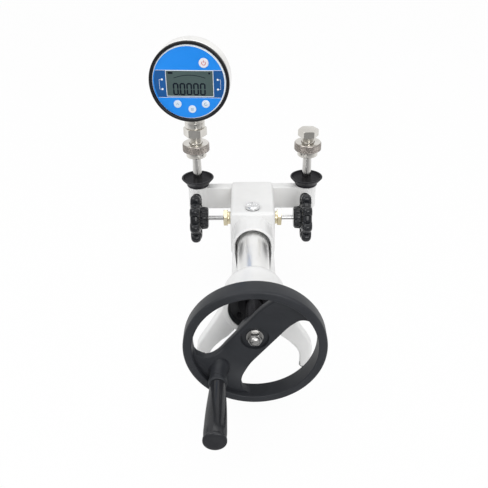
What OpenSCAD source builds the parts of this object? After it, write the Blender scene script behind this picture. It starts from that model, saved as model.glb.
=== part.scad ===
// Bench hand pump for pressure comparison: a handwheel and leadscrew drive a
// piston into a barrel, two valves and two outlet posts share one casting.
// The frame has its origin on the table under the middle of the rear arm,
// +Z up, +Y away from the operator, +X to the operator's right.

/* [Overall] */
// height of the barrel axis above the table
axis_height = 83.5; // [74:0.5:104]
// distance between the two outlet posts
post_spacing = 150; // [140:1:190]
// outside diameter of the handwheel
wheel_diameter = 142; // [114:1:162]
// length of the barrel that shows between the collar and the bell
barrel_open_length = 81.7; // [66:0.1:100]

/* [Barrel and screw] */
// outside diameter of the chrome barrel
barrel_diameter = 38.6; // [31:0.1:46]
// bore of the barrel
bore_diameter = 24; // [22:0.1:26]
// thread diameter of the leadscrew
screw_diameter = 18; // [14:0.1:20]
// distance that the wheel can move towards the bell
travel_in = 33.5; // [20:0.5:35]
// distance that the wheel can move away from the bell
travel_out = 15.5; // [8:0.5:18]

/* [Casting] */
// width of the middle block
block_width = 57.4; // [52:0.1:68]
// length of the middle block
block_length = 95; // [90:0.5:114]
// length of the round collar in front of the block
collar_length = 32; // [24:0.5:40]
// wall of the cradle beside the barrel
cradle_wall = 3.2; // [2.6:0.1:4.2]
// thickness of the rear arm, front to back
arm_thickness = 15.4; // [12.4:0.1:18.4]
// diameter of the boss at each end of the arm
boss_diameter = 27.5; // [26.5:0.1:33]

/* [Outlets] */
// height of the post above its boss
post_height = 44; // [38:0.5:56]
// largest diameter of the post
post_diameter = 12; // [10:0.1:13.5]
// diameter of the knurled nut
nut_diameter = 36; // [30:0.1:43]
// diameter of the drip cup at its rim
cup_diameter = 44.2; // [38:0.1:53]

/* [Gauge] */
// outside diameter of the gauge case
gauge_diameter = 100; // [96:0.5:120]
// depth of the gauge case behind its front ring
case_depth = 24; // [21:0.5:29]
// turn of the gauge about its post, seen from above
gauge_yaw = -4; // [-30:0.1:30]

/* [Valves] */
// diameter of the valve handwheel
valve_wheel_diameter = 68; // [57:0.5:80]
// diameter of the valve stem
stem_diameter = 6; // [5:0.1:7]
// how far the left valve stands open, beyond the right one
left_valve_open = 4.2; // [0:0.1:5]

/* [Handwheel] */
// depth of the handwheel rim, front to back
rim_depth = 20; // [16:0.5:24]
// radial thickness of the handwheel rim
rim_width = 9; // [7:0.1:11]
// width of the band that joins the rim to the hub
band_width = 36; // [33:0.5:43]
// direction of the band, from the horizontal
band_angle = 51; // [0:1:90]
// distance of the handle from the wheel axis
handle_radius = 50; // [42:0.5:51]
// length of the revolving handle
handle_length = 72; // [60:0.5:86]

/* [Hidden] */
$fn = 64;
fit = 0.05;
loose = 0.3;
axis_z = axis_height;
// stations along the pump, from the back to the front
y_back = 7;
y_block = y_back - block_length;
y_collar = y_block - collar_length;
y_cradle = y_collar - barrel_open_length;
bell_length = 47.9;
y_bell = y_cradle - bell_length;
wheel_gap = 45;
y_rim_back = y_bell - wheel_gap;
y_rim_front = y_rim_back - rim_depth;
y_arm = -0.5;
// heights
block_top = axis_z + 28.5;
boss_top = axis_z + 26.5;
arm_top = boss_top;
arm_bottom = axis_z - 6.8;
pad_h = 3;
boss_r = boss_diameter / 2;
post_x = post_spacing / 2;
post_rad = post_diameter / 2;
// barrel
barrel_r = barrel_diameter / 2;
bore_r = bore_diameter / 2;
cradle_in = barrel_r + 2.9;
cradle_r = cradle_in + cradle_wall;
y_barrel_end = y_block + 2;
screw_r = screw_diameter / 2;
spigot_r = 5;
neck_r = 6;
tip_r = 4;
bell_seat = 5;
y_barrel_front = y_cradle - bell_seat;
nut_body_r = 15;
nut_flange_r = max(17.5, screw_r + 7);
support_r = barrel_r + 3.3;
bell_open_r = max(26.5, support_r + 3.2);
bell_rim_r = 34.5;
y_bell_floor = y_bell + 13.6;
nut_flange_t = 4;
// piston
piston_l = 24;
piston_stop = 2;
y_piston = y_barrel_end - piston_stop - travel_in;
y_piston_front = y_piston - piston_l;
thrust_t = 4;
y_screw_back = y_piston_front - thrust_t;
// wheel
wheel_r = wheel_diameter / 2;
rim_in = wheel_r - rim_width;
hub_r = 20;
y_hub_back = y_rim_back + 14.6;
y_hub_front = y_rim_back - 1.2;
y_hub_floor = y_rim_back + 2.1;
washer_t = 1.5;
y_web_rim_front = y_rim_back - 9.6;
web_t = 8.4;
handle_dir = 222;
handle_at = min(handle_radius, rim_in - 11);
handle_x = handle_at * cos(handle_dir);
handle_z = handle_at * sin(handle_dir);
y_handle_boss = y_rim_front - 4;
handle_gap = 0.4;
// valves
y_valve = -49;
valve_rise = 1;
stem_r = stem_diameter / 2;
channel_r = 2.5;
seat_r = 1.2;
needle_tip = 4;
needle_rest = 5;
needle_body = 4;
cavity_x = 14;
packing_t = 3;
packing_rad = 7;
gland_step = 1.1;
gland_neck_t = 3.5;
gland_hex_t = 5.2;
gland_hex_r = 12;
half_block = block_width / 2;
x_hub = 54.9;
hub_t = 9.5;
lobe_t = 13.5;
lobe_r = valve_wheel_diameter * 0.093;
lobe_at = valve_wheel_diameter / 2 - lobe_r;
// outlet stack, heights above the table
cup_floor = boss_top;
z_ring = boss_top + post_height;
ring_t = 8;
z_nut = z_ring + ring_t;
nut_t = 11;
nut_top_t = 3;
head_r = 9;
head_t = 4.2;
seal_t = 2;
z_seal = z_nut + loose + head_t;
z_stem = z_seal + seal_t;
z_nut_top = z_nut + nut_t;
thread_r = 8.2;
ring_r = 13.65;
nut_r = nut_diameter / 2;
z_hex = z_nut_top + 11;
hex_t = 11;
neck_r_g = 13.2;
z_neck = z_hex + hex_t;
neck_t = 16.6;
z_gauge_boss = z_neck + neck_t;
gauge_r = gauge_diameter / 2;
z_gauge = z_gauge_boss + gauge_r + 0.2;
// gauge, in its own frame: -Y is the face, the post axis is at the origin
g_front = -27.8;
ring_depth = 6;
g_case = g_front + ring_depth;
g_case_back = g_case + case_depth;
case_wall = 3;
bezel_r = gauge_r;
face_r = gauge_r - 6;
g_face = g_front + 2.4;
face_t = 2;
lcd_w = 59;
lcd_h = 32.6;
lcd_x = 1.8;
lcd_z = -1.4;
glass_t = 1;
back_r = gauge_r - 11;
back_t = 11;
key_flange_t = 1;
key_out = 1;
power_at = [18.4, 24.2];
power_r = 5.9;
menu_at = [[-14, -27.4], [3.6, -33.6], [20.4, -27.2]];
menu_r = 4.9;
g_board = g_face + 7.5;
board_t = 1.6;

// cylinder along the pump, from station y0 forward to y1
module along_y(y0, y1, r, r1 = -1) {
  translate([0, max(y0, y1), 0])
    rotate([90, 0, 0])
      cylinder(h = abs(y1 - y0), r1 = r, r2 = r1 < 0 ? r : r1);
}

// cylinder across the pump, from x0 to x1
module along_x(x0, x1, r, r1 = -1) {
  translate([x0, 0, 0])
    rotate([0, 90, 0])
      cylinder(h = x1 - x0, r1 = r, r2 = r1 < 0 ? r : r1);
}

// a hexagon prism standing on the XY plane
module hex_prism(r, h) {
  cylinder(h = h, r = r, $fn = 6);
}

// everything on the barrel axis
module on_axis() {
  translate([0, 0, axis_z])
    children();
}

// ---------------------------------------------------------------- casting
module arm_shape() {
  translate([-post_x, y_arm - arm_thickness / 2, arm_bottom])
    cube([post_spacing, arm_thickness, arm_top - arm_bottom - 1.2]);
  for (side = [-1, 1])
    translate([side * post_x, y_arm, arm_bottom])
      cylinder(h = boss_top - arm_bottom, r = boss_r);
}

module pedestal_shape() {
  translate([-half_block + 5, y_block + 30, pad_h])
    cube([block_width - 10, block_length - 36, axis_z - 20 - pad_h]);
}

module block_shape() {
  hull() {
    translate([-half_block, y_block, axis_z - 31.5])
      cube([block_width, block_length, 56]);
    translate([-half_block + 4, y_block, axis_z - 31.5])
      cube([block_width - 8, block_length, 60]);
  }
}

module cradle_shape() {
  on_axis() {
    difference() {
      along_y(y_cradle, y_collar + 0.01, cradle_r);
      along_y(y_cradle - 1, y_collar, cradle_in);
      translate([-cradle_r - 1, y_cradle - 1, 0])
        cube([2 * cradle_r + 2, barrel_open_length + 1, cradle_r + 1]);
    }
    // saddle that takes the two screws of the front support
    difference() {
      along_y(y_cradle, y_cradle + 14, cradle_r - 0.1);
      along_y(y_cradle - 1, y_cradle + 15, barrel_r + 0.4);
      translate([-cradle_r - 1, y_cradle - 1, -cradle_r * 0.3])
        cube([2 * cradle_r + 2, 16, 2 * cradle_r]);
    }
  }
}

module valve_bore(side) {
  translate([0, y_valve, axis_z + valve_rise])
    mirror([side < 0 ? 1 : 0, 0, 0]) {
      along_x(0, needle_tip + 1, seat_r);
      along_x(needle_tip - 0.4, cavity_x + 1, stem_r + fit);
      along_x(cavity_x, half_block + 1, packing_rad + fit);
    }
}

module body_casting() {
  color([0.93, 0.93, 0.92])
    difference() {
      union() {
        block_shape();
        arm_shape();
        pedestal_shape();
        cradle_shape();
        on_axis()
          along_y(y_collar, y_block + 1, cradle_r);
      }
      // seat of the barrel and the pressure channel
      on_axis() {
        along_y(y_collar - 1, y_barrel_end, barrel_r + fit);
        along_y(y_collar - 1, y_collar + collar_length / 2, cradle_in);
        along_y(y_barrel_end - 1, y_arm, channel_r);
      }
      translate([0, y_arm, axis_z])
        along_x(-post_x, post_x, 2);
      for (side = [-1, 1]) {
        valve_bore(side);
        translate([side * post_x, y_arm, axis_z])
          cylinder(h = 12, r = 2);
        translate([side * post_x, y_arm, boss_top - 14])
          cylinder(h = 20, r = post_rad + 0.4 + fit);
        // screw holes in the front faces of the cradle
        translate([side * support_x(), 0, axis_z - support_drop()])
          along_y(y_cradle - 1, y_cradle + 10, 1.6 + fit);
      }
      // reservoir under the filler plug
      translate([-16, y_block + 8, axis_z + 9])
        cube([32, 22, 12]);
      translate([0, y_block + 15, axis_z + 20])
        cylinder(h = 20, r = 7 + fit);
      translate([0, y_block + 20, axis_z])
        cylinder(h = 12, r = 1.5);
    }
}

function support_x() = support_r * 0.72;
function support_drop() = support_r * 0.694;

// ---------------------------------------------------------- front support
leg_scale = (axis_z - pad_h) / 80.5;
leg_points = [
  [30, 92], [40, 74], [50, 57], [59.6, 41], [63, 33], [64.2, 25],
  [63.4, 17], [61.5, 8], [60.5, 3], [51.5, 3], [51.5, 10], [50.6, 18],
  [48.6, 25], [44, 32], [36, 40.6], [28, 47.5], [18, 55], [8, 66]
];

module leg_shape() {
  translate([0, y_bell + 13.6, 0])
    rotate([90, 0, 0])
      linear_extrude(height = 13.6)
        polygon([for (p = leg_points)
          [p[0], pad_h + (p[1] - 3) * leg_scale]]);
}

module bell_outside() {
  rear = min(cradle_r, bell_rim_r - 3);
  on_axis()
    rotate([90, 0, 0])
      translate([0, 0, -y_cradle])
        rotate_extrude()
          polygon([
            [0, 0], [rear, 0], [rear + 0.6, 1.6],
            [bell_rim_r - 0.7, 14.6], [bell_rim_r, 16.6],
            [bell_rim_r, bell_length - 1.5],
            [bell_rim_r - 1.5, bell_length], [0, bell_length]
          ]);
}

module front_support() {
  color([0.93, 0.93, 0.92])
    difference() {
      union() {
        bell_outside();
        leg_shape();
        mirror([1, 0, 0])
          leg_shape();
      }
      on_axis() {
        along_y(y_barrel_front, y_cradle + 1, barrel_r + fit);
        along_y(y_bell_floor - 1, y_cradle, nut_body_r + fit);
        along_y(y_bell - 1, y_bell_floor, bell_open_r);
      }
      for (side = [-1, 1])
        translate([side * support_x(), 0, axis_z - support_drop()])
          along_y(y_bell_floor - 1, y_cradle + 1, 1.6 + fit);
    }
}

module support_screw(side) {
  translate([side * support_x(), 0, axis_z - support_drop()]) {
    along_y(y_bell_floor, y_cradle + 9, 1.6);
    along_y(y_bell_floor - 3, y_bell_floor, 2.7);
  }
}

module support_screw_l() {
  color([0.25, 0.25, 0.27])
    support_screw(-1);
}

module support_screw_r() {
  color([0.25, 0.25, 0.27])
    support_screw(1);
}

module foot_pad(x, y) {
  color([0.08, 0.08, 0.08])
    translate([x, y, 0])
      cylinder(h = pad_h, r = 5);
}

module foot_pad_fl() {
  foot_pad(-56, y_bell + 6.8);
}

module foot_pad_fr() {
  foot_pad(56, y_bell + 6.8);
}

module foot_pad_rear() {
  color([0.08, 0.08, 0.08])
    translate([-half_block + 8, -8, 0])
      cube([block_width - 16, 9, pad_h]);
}

// ------------------------------------------------------- barrel and screw
module barrel_tube() {
  color([0.8, 0.81, 0.83])
    on_axis()
      difference() {
        along_y(y_barrel_front, y_barrel_end - 1.5, barrel_r);
        along_y(y_barrel_front - 1, y_barrel_end, bore_r);
      }
}

module barrel_seal() {
  color([0.07, 0.07, 0.07])
    on_axis()
      difference() {
        along_y(y_barrel_end - 1.5, y_barrel_end, barrel_r - 0.2);
        along_y(y_barrel_end - 2, y_barrel_end + 1, bore_r);
      }
}

module leadscrew() {
  color([0.66, 0.67, 0.69])
    on_axis() {
      along_y(y_hub_back, y_screw_back, screw_r);
      along_y(y_screw_back - 0.01, y_piston_front + 10, spigot_r);
      along_y(y_hub_floor, y_hub_back + 0.01, neck_r);
      along_y(y_hub_floor - 8, y_hub_floor + 0.01, tip_r);
    }
}

module piston() {
  color([0.72, 0.66, 0.45])
    on_axis()
      difference() {
        along_y(y_piston_front, y_piston, bore_r - fit);
        along_y(y_piston_front - 1, y_piston_front + 11, spigot_r + fit);
        difference() {
          along_y(y_piston - 10, y_piston - 6, bore_r + 1);
          along_y(y_piston - 11, y_piston - 5, bore_r - 2);
        }
      }
}

module piston_seal() {
  color([0.07, 0.07, 0.07])
    on_axis()
      difference() {
        along_y(y_piston - 9.9, y_piston - 6.1, bore_r - fit);
        along_y(y_piston - 11, y_piston - 5, bore_r - 2 + fit);
      }
}

module thrust_bearing() {
  color([0.6, 0.61, 0.63])
    on_axis()
      difference() {
        along_y(y_screw_back, y_piston_front, bore_r - 1);
        along_y(y_screw_back - 1, y_piston_front + 1, spigot_r + fit);
      }
}

module drive_nut() {
  color([0.78, 0.62, 0.3])
    on_axis()
      difference() {
        union() {
          along_y(y_bell_floor, y_barrel_front, nut_body_r);
          along_y(y_bell_floor - nut_flange_t, y_bell_floor, nut_flange_r);
        }
        along_y(y_bell - 1, y_cradle, screw_r + fit);
      }
}

// --------------------------------------------------------------- handwheel
// one opening of the wheel, on the +Y side of the drawing plane
module wheel_opening(corner) {
  flat = band_width / 2;
  inner = rim_in + 1.5;
  cx = sqrt(pow(inner - corner, 2) - pow(flat + corner, 2));
  cy = flat + corner;
  reach = 3;
  intersection() {
    circle(r = inner, $fn = 128);
    polygon([
      [cx, cy], [cx * reach, cy * reach], [0, inner * reach],
      [-cx * reach, cy * reach], [-cx, cy]
    ]);
  }
  translate([-cx, flat])
    square([2 * cx, corner + 1]);
  for (side = [-1, 1])
    translate([side * cx, cy])
      circle(r = corner);
}

// stands a drawing in the XY plane up across the pump at station y1
module across(y0, y1) {
  translate([0, y1, 0])
    rotate([90, 0, 0])
      linear_extrude(height = y1 - y0)
        children();
}

module wheel_dish() {
  rotate([90, 0, 0])
    rotate_extrude($fn = 128)
      polygon([
        [0, -y_hub_front], [hub_r, -y_hub_front],
        [rim_in + 1, -y_web_rim_front],
        [rim_in + 1, -y_web_rim_front - web_t],
        [hub_r, -y_hub_front - web_t], [hub_r - 1.5, -y_hub_back],
        [0, -y_hub_back]
      ]);
}

module wheel_rim() {
  rotate([90, 0, 0])
    rotate_extrude($fn = 128)
      polygon(rim_points());
}

function rim_points() = [
  [rim_in, -y_rim_back + 2], [rim_in + 2, -y_rim_back],
  [wheel_r - 2.5, -y_rim_back], [wheel_r, -y_rim_back + 2.5],
  [wheel_r, -y_rim_front - 2.5], [wheel_r - 2.5, -y_rim_front],
  [rim_in + 2, -y_rim_front], [rim_in, -y_rim_front - 2]
];

module handwheel() {
  color([0.16, 0.165, 0.17])
    on_axis()
      difference() {
        union() {
          wheel_rim();
          difference() {
            wheel_dish();
            for (turn = [0, 180])
              rotate([0, -band_angle - turn, 0])
                across(y_rim_front - 20, y_hub_back + 10)
                  wheel_opening(8);
          }
          translate([handle_x, 0, handle_z])
            along_y(y_handle_boss, y_hub_front - 2, 9.9, 8.4);
        }
        along_y(y_rim_front - 1, y_hub_floor, 14);
        along_y(y_rim_front - 1, y_hub_back + 1, neck_r + fit);
        translate([handle_x, 0, handle_z])
          along_y(y_handle_boss - 1, y_handle_boss + 12, 4 + fit);
      }
}

module wheel_washer() {
  color([0.75, 0.75, 0.76])
    on_axis()
      difference() {
        along_y(y_hub_floor - washer_t, y_hub_floor, 8.85);
        along_y(y_hub_floor - 3, y_hub_floor + 1, tip_r + fit);
      }
}

module cap_nut() {
  color([0.78, 0.78, 0.79])
    translate([0, y_hub_floor - washer_t, axis_z])
      rotate([90, 0, 0])
        difference() {
          union() {
            hex_prism(7.5, 5.5);
            cylinder(h = 9.5, r1 = 6.2, r2 = 4.6);
          }
          translate([0, 0, -1])
            cylinder(h = 7.5 + 0.1, r = tip_r + fit);
        }
}

// the handle pin is a shouldered screw in the boss of the wheel
y_grip = y_handle_boss - handle_gap;
y_grip_end = y_grip - handle_length;
cap_t = 4;

module handle_pin() {
  color([0.7, 0.7, 0.72])
    translate([handle_x, 0, axis_z + handle_z]) {
      along_y(y_grip_end + 3, y_handle_boss + 12, 4);
      along_y(y_grip_end + 1, y_grip_end + 5, 6);
    }
}

module handle_sleeve() {
  color([0.06, 0.06, 0.06])
    translate([handle_x, 0, axis_z + handle_z])
      rotate([90, 0, 0])
        difference() {
          rotate_extrude()
            polygon([
              [0, -y_grip], [7.6, -y_grip], [8.1, -y_grip + 5],
              [8.8, -y_grip + 16], [9.9, -y_grip + 34],
              [10.7, -y_grip + handle_length * 0.76],
              [10.8, -y_grip_end - 1], [10.2, -y_grip_end],
              [0, -y_grip_end]
            ]);
          translate([0, 0, -y_grip - 1])
            cylinder(h = handle_length + 2, r = 4 + fit);
          translate([0, 0, -y_grip_end - 5.1])
            cylinder(h = 6, r = 6 + fit);
        }
}

module handle_cap() {
  color([0.06, 0.06, 0.06])
    translate([handle_x, 0, axis_z + handle_z])
      along_y(y_grip_end - cap_t, y_grip_end, 11.3, 10.6);
}

// ----------------------------------------------------------------- valves
module gland() {
  x0 = cavity_x + packing_t;
  x1 = half_block + gland_step;
  difference() {
    union() {
      along_x(x0, x1, packing_rad);
      along_x(half_block, x1 + gland_neck_t, 8.5);
      translate([x1 + gland_neck_t, 0, 0])
        rotate([0, 90, 0])
          hex_prism(gland_hex_r, gland_hex_t);
    }
    along_x(x0 - 1, x1 + gland_neck_t + gland_hex_t + 1, stem_r + fit);
  }
}

module packing() {
  difference() {
    along_x(cavity_x, cavity_x + packing_t, packing_rad);
    along_x(cavity_x - 1, cavity_x + packing_t + 1, stem_r + fit);
  }
}

module needle(lift) {
  x0 = needle_rest + lift;
  along_x(x0, x0 + needle_tip, 0.4, stem_r);
  along_x(x0 + needle_tip, x0 + needle_tip + needle_body, stem_r);
}

module valve_stem(lift) {
  x0 = needle_rest + lift + needle_tip + needle_body;
  along_x(x0, x_hub + lift + hub_t + lobe_t - 3, stem_r);
}

module valve_wheel(lift) {
  x0 = x_hub + lift;
  difference() {
    union() {
      along_x(x0, x0 + hub_t + 1, 13.4, 15);
      translate([x0 + hub_t, 0, 0])
        rotate([0, 90, 0])
          linear_extrude(height = lobe_t)
            union() {
              circle(r = lobe_at + 0.6);
              for (i = [0:7])
                rotate(i * 45 + 22.5)
                  translate([lobe_at, 0])
                    circle(r = lobe_r, $fn = 40);
            }
    }
    along_x(x0 - 1, x0 + hub_t + lobe_t - 3, stem_r + fit);
  }
}

module place_valve(side) {
  translate([0, y_valve, axis_z + valve_rise])
    mirror([side < 0 ? 1 : 0, 0, 0])
      children();
}

module gland_l() {
  color([0.8, 0.62, 0.25])
    place_valve(-1)
      gland();
}

module gland_r() {
  color([0.8, 0.62, 0.25])
    place_valve(1)
      gland();
}

module packing_l() {
  color([0.9, 0.9, 0.88])
    place_valve(-1)
      packing();
}

module packing_r() {
  color([0.9, 0.9, 0.88])
    place_valve(1)
      packing();
}

module needle_l() {
  color([0.7, 0.7, 0.72])
    place_valve(-1)
      needle(left_valve_open);
}

module needle_r() {
  color([0.7, 0.7, 0.72])
    place_valve(1)
      needle(0);
}

module valve_stem_l() {
  color([0.75, 0.75, 0.76])
    place_valve(-1)
      valve_stem(left_valve_open);
}

module valve_stem_r() {
  color([0.75, 0.75, 0.76])
    place_valve(1)
      valve_stem(0);
}

module valve_wheel_l() {
  color([0.05, 0.05, 0.05])
    place_valve(-1)
      valve_wheel(left_valve_open);
}

module valve_wheel_r() {
  color([0.05, 0.05, 0.05])
    place_valve(1)
      valve_wheel(0);
}

// ---------------------------------------------------------- outlet stacks
module place_post(side) {
  translate([side * post_x, y_arm, 0])
    children();
}

module post() {
  difference() {
    union() {
      translate([0, 0, boss_top - 14])
        cylinder(h = 16, r = post_rad + 0.4);
      translate([0, 0, boss_top + 1.9])
        cylinder(h = post_height - 6, r1 = post_rad + 0.4, r2 = post_rad - 0.8);
      translate([0, 0, z_ring - 4.2])
        cylinder(h = ring_t + 5, r = post_rad - 0.8);
      translate([0, 0, z_nut + loose])
        cylinder(h = head_t, r = head_r);
    }
    translate([0, 0, boss_top - 15])
      cylinder(h = post_height + 40, r = 1.8);
  }
}

module drip_cup() {
  rim = cup_diameter / 2;
  foot = rim * 0.715;
  translate([0, 0, cup_floor])
    rotate_extrude()
      polygon([
        [post_rad + 0.4 + fit, 0], [foot - 1.2, 0], [foot, 1],
        [foot, 2.6], [rim, 11.2], [rim, 12], [rim - 1.6, 12],
        [foot - 2.2, 3.6], [foot - 4.5, 2.4], [post_rad + 0.4 + fit, 2.4]
      ]);
}

module post_ring() {
  translate([0, 0, z_ring])
    difference() {
      cylinder(h = ring_t, r = ring_r);
      translate([0, 0, -1])
        cylinder(h = ring_t + 2, r = post_rad - 0.8 + fit);
    }
}

module swivel_nut() {
  translate([0, 0, z_nut])
    difference() {
      rotate_extrude()
        polygon([
          [0, 0], [nut_r - 1, 0], [nut_r, 1], [nut_r, nut_t - 3],
          [nut_r - 3, nut_t], [0, nut_t]
        ]);
      translate([0, 0, -1])
        cylinder(h = nut_t - nut_top_t + 1, r = head_r + 0.4);
      translate([0, 0, 1])
        cylinder(h = nut_t, r = thread_r + fit);
    }
}

module post_seal() {
  translate([0, 0, z_seal])
    difference() {
      cylinder(h = seal_t, r = 7.8);
      translate([0, 0, -1])
        cylinder(h = seal_t + 2, r = 2.2);
    }
}

steel = [0.74, 0.73, 0.7];
black = [0.05, 0.05, 0.05];

module post_l() {
  color(steel)
    place_post(-1)
      post();
}

module post_r() {
  color(steel)
    place_post(1)
      post();
}

module drip_cup_l() {
  color(black)
    place_post(-1)
      drip_cup();
}

module drip_cup_r() {
  color(black)
    place_post(1)
      drip_cup();
}

module post_ring_l() {
  color(steel)
    place_post(-1)
      post_ring();
}

module post_ring_r() {
  color(steel)
    place_post(1)
      post_ring();
}

module swivel_nut_l() {
  color(steel)
    place_post(-1)
      swivel_nut();
}

module swivel_nut_r() {
  color(steel)
    place_post(1)
      swivel_nut();
}

module post_seal_l() {
  color(black)
    place_post(-1)
      post_seal();
}

module post_seal_r() {
  color(black)
    place_post(1)
      post_seal();
}

module gauge_stem() {
  color(steel)
    place_post(-1)
      rotate(gauge_yaw)
        difference() {
          union() {
            translate([0, 0, z_stem])
              cylinder(h = z_hex - z_stem + 1, r = thread_r);
            translate([0, 0, z_hex])
              hex_prism(15.6, hex_t);
            translate([0, 0, z_neck - 0.01])
              cylinder(h = neck_t, r = neck_r_g);
            translate([0, 0, z_gauge_boss - 0.5])
              cylinder(h = 6.3, r = 7);
          }
          translate([0, 0, z_stem - 1])
            cylinder(h = 90, r = 1.8);
        }
}

module hex_plug() {
  color(steel)
    place_post(1) {
      translate([0, 0, z_stem])
        cylinder(h = z_nut_top + 8.5 - z_stem + 1, r = thread_r);
      intersection() {
        translate([0, 0, z_nut_top + 8.5])
          hex_prism(13.7, 9);
        translate([0, 0, z_nut_top + 8.5])
          cylinder(h = 9, r1 = 18.6, r2 = 12.4);
      }
    }
}

// ------------------------------------------------------------------ gauge
module place_gauge() {
  place_post(-1)
    rotate(gauge_yaw)
      translate([0, 0, z_gauge])
        children();
}

module gauge_case() {
  color([0.78, 0.77, 0.75])
    place_gauge()
      difference() {
        union() {
          along_y(g_case, g_case_back, gauge_r);
          translate([0, 0, z_gauge_boss - z_gauge])
            cylinder(h = 12, r = neck_r_g);
        }
        along_y(g_case - 1, g_case_back - case_wall, gauge_r - case_wall);
        translate([0, 0, z_gauge_boss - z_gauge - 1])
          cylinder(h = 7, r = 7 + fit);
        along_y(g_case_back, g_case_back + back_t + 5, back_r + 0.3);
      }
}

module gauge_back() {
  color([0.12, 0.12, 0.13])
    place_gauge()
      difference() {
        along_y(g_case_back, g_case_back + back_t, back_r, back_r - 3);
        along_y(g_case_back - 1, g_case_back + back_t - 2.5, back_r - 6);
      }
}

module gauge_bezel() {
  color([0.06, 0.06, 0.07])
    place_gauge()
      rotate([90, 0, 0])
        rotate_extrude($fn = 128)
          polygon([
            [face_r + 0.1, -g_case], [gauge_r - 0.4, -g_case],
            [bezel_r, -g_case + 1.5], [bezel_r, -g_front - 2],
            [bezel_r - 1.6, -g_front], [face_r + 1.6, -g_front],
            [face_r + 0.1, -g_front - 1.4]
          ]);
}

module face_plate() {
  difference() {
    along_y(g_face, g_face + face_t, face_r);
    translate([lcd_x - lcd_w / 2, g_face - 1, lcd_z - lcd_h / 2])
      cube([lcd_w, face_t + 2, lcd_h]);
    translate([power_at[0], 0, power_at[1]])
      along_y(g_face - 1, g_face + face_t + 1, power_r + loose);
    for (at = menu_at)
      translate([at[0], 0, at[1]])
        along_y(g_face - 1, g_face + face_t + 1, menu_r + loose);
  }
}

module gauge_face() {
  color([0.1, 0.42, 0.87])
    place_gauge()
      face_plate();
}

module gauge_window() {
  color([0.75, 0.8, 0.75])
    place_gauge()
      translate([lcd_x - lcd_w / 2 + 0.1, g_face + 0.2, lcd_z - lcd_h / 2 + 0.1])
        cube([lcd_w - 0.2, glass_t, lcd_h - 0.2]);
}

module gauge_lcd() {
  color([0.42, 0.47, 0.42])
    place_gauge()
      translate([lcd_x - lcd_w / 2 - 1.5, g_face + face_t, lcd_z - lcd_h / 2 - 1.5])
        cube([lcd_w + 3, 3.4, lcd_h + 3]);
}

module gauge_board() {
  color([0.1, 0.35, 0.2])
    place_gauge()
      difference() {
        along_y(g_board, g_board + board_t, gauge_r - case_wall - 0.3);
        translate([-gauge_r, g_board - 1, -gauge_r * 2.8])
          cube([gauge_r * 2, board_t + 2, gauge_r * 2]);
      }
}

module pressure_sensor() {
  color([0.7, 0.7, 0.72])
    place_gauge()
      translate([0, 0, 18.5 - gauge_r])
        along_y(g_board + board_t, g_board + board_t + 10, 6.8);
}

module battery_pack() {
  color([0.15, 0.3, 0.2])
    place_gauge()
      translate([-22, g_board + board_t, -gauge_r + 27])
        cube([44, g_case_back - case_wall - g_board - board_t, 30]);
}

module key_shape(r) {
  along_y(g_face - key_out, g_face + face_t, r);
  along_y(g_face + face_t, g_face + face_t + key_flange_t, r + 1);
}

module gauge_key(at, r) {
  place_gauge()
    translate([at[0], 0, at[1]])
      key_shape(r);
}

module power_key() {
  color([0.9, 0.9, 0.92])
    gauge_key(power_at, power_r);
}

module menu_key_a() {
  color([0.85, 0.88, 0.93])
    gauge_key(menu_at[0], menu_r);
}

module menu_key_b() {
  color([0.85, 0.88, 0.93])
    gauge_key(menu_at[1], menu_r);
}

module menu_key_c() {
  color([0.85, 0.88, 0.93])
    gauge_key(menu_at[2], menu_r);
}

// ----------------------------------------------------------- filler plug
module filler_plug() {
  color([0.82, 0.82, 0.83])
    translate([0, y_block + 15, 0])
      difference() {
        union() {
          translate([0, 0, block_top - 7])
            cylinder(h = 8.2, r = 7);
          translate([0, 0, block_top + 1])
            cylinder(h = 3.6, r = 9.4);
        }
        translate([-12, -1, block_top + 3.4])
          cube([24, 2, 3]);
      }
}

module filler_seal() {
  color([0.05, 0.05, 0.05])
    translate([0, y_block + 15, block_top])
      difference() {
        cylinder(h = 1, r = 8.9);
        translate([0, 0, -1])
          cylinder(h = 3, r = 7 + fit);
      }
}

body_casting();
front_support();
barrel_tube();
barrel_seal();
foot_pad_fl();
foot_pad_fr();
foot_pad_rear();
post_l();
post_r();
drip_cup_l();
drip_cup_r();
post_ring_l();
post_ring_r();
swivel_nut_l();
swivel_nut_r();
post_seal_l();
post_seal_r();
gauge_stem();
gauge_case();
gauge_back();
gauge_bezel();
gauge_face();
gauge_window();
gauge_lcd();
gauge_board();
pressure_sensor();
battery_pack();
power_key();
menu_key_a();
menu_key_b();
menu_key_c();
hex_plug();
filler_plug();
filler_seal();
gland_l();
gland_r();
packing_l();
packing_r();
needle_l();
needle_r();
valve_stem_l();
valve_stem_r();
valve_wheel_l();
valve_wheel_r();
leadscrew();
piston();
piston_seal();
thrust_bearing();
drive_nut();
handwheel();
wheel_washer();
cap_nut();
handle_pin();
handle_sleeve();
handle_cap();
support_screw_l();
support_screw_r();
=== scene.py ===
# %% [markdown]
# # Bench hand pump with a spoked handwheel
# A white casting carries a chrome barrel, two needle valves and two outlet
# posts. A large black handwheel at the front turns a leadscrew that drives a
# piston in the barrel, and a round digital gauge stands on the left post.
# The lesson builds each visible piece as a surface worked out with numpy and
# rides it on the body that carries it, so that every joint still moves it.

# %% Load the frame
import math
import bpy
import numpy as np
from mathutils import Matrix, Vector


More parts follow.
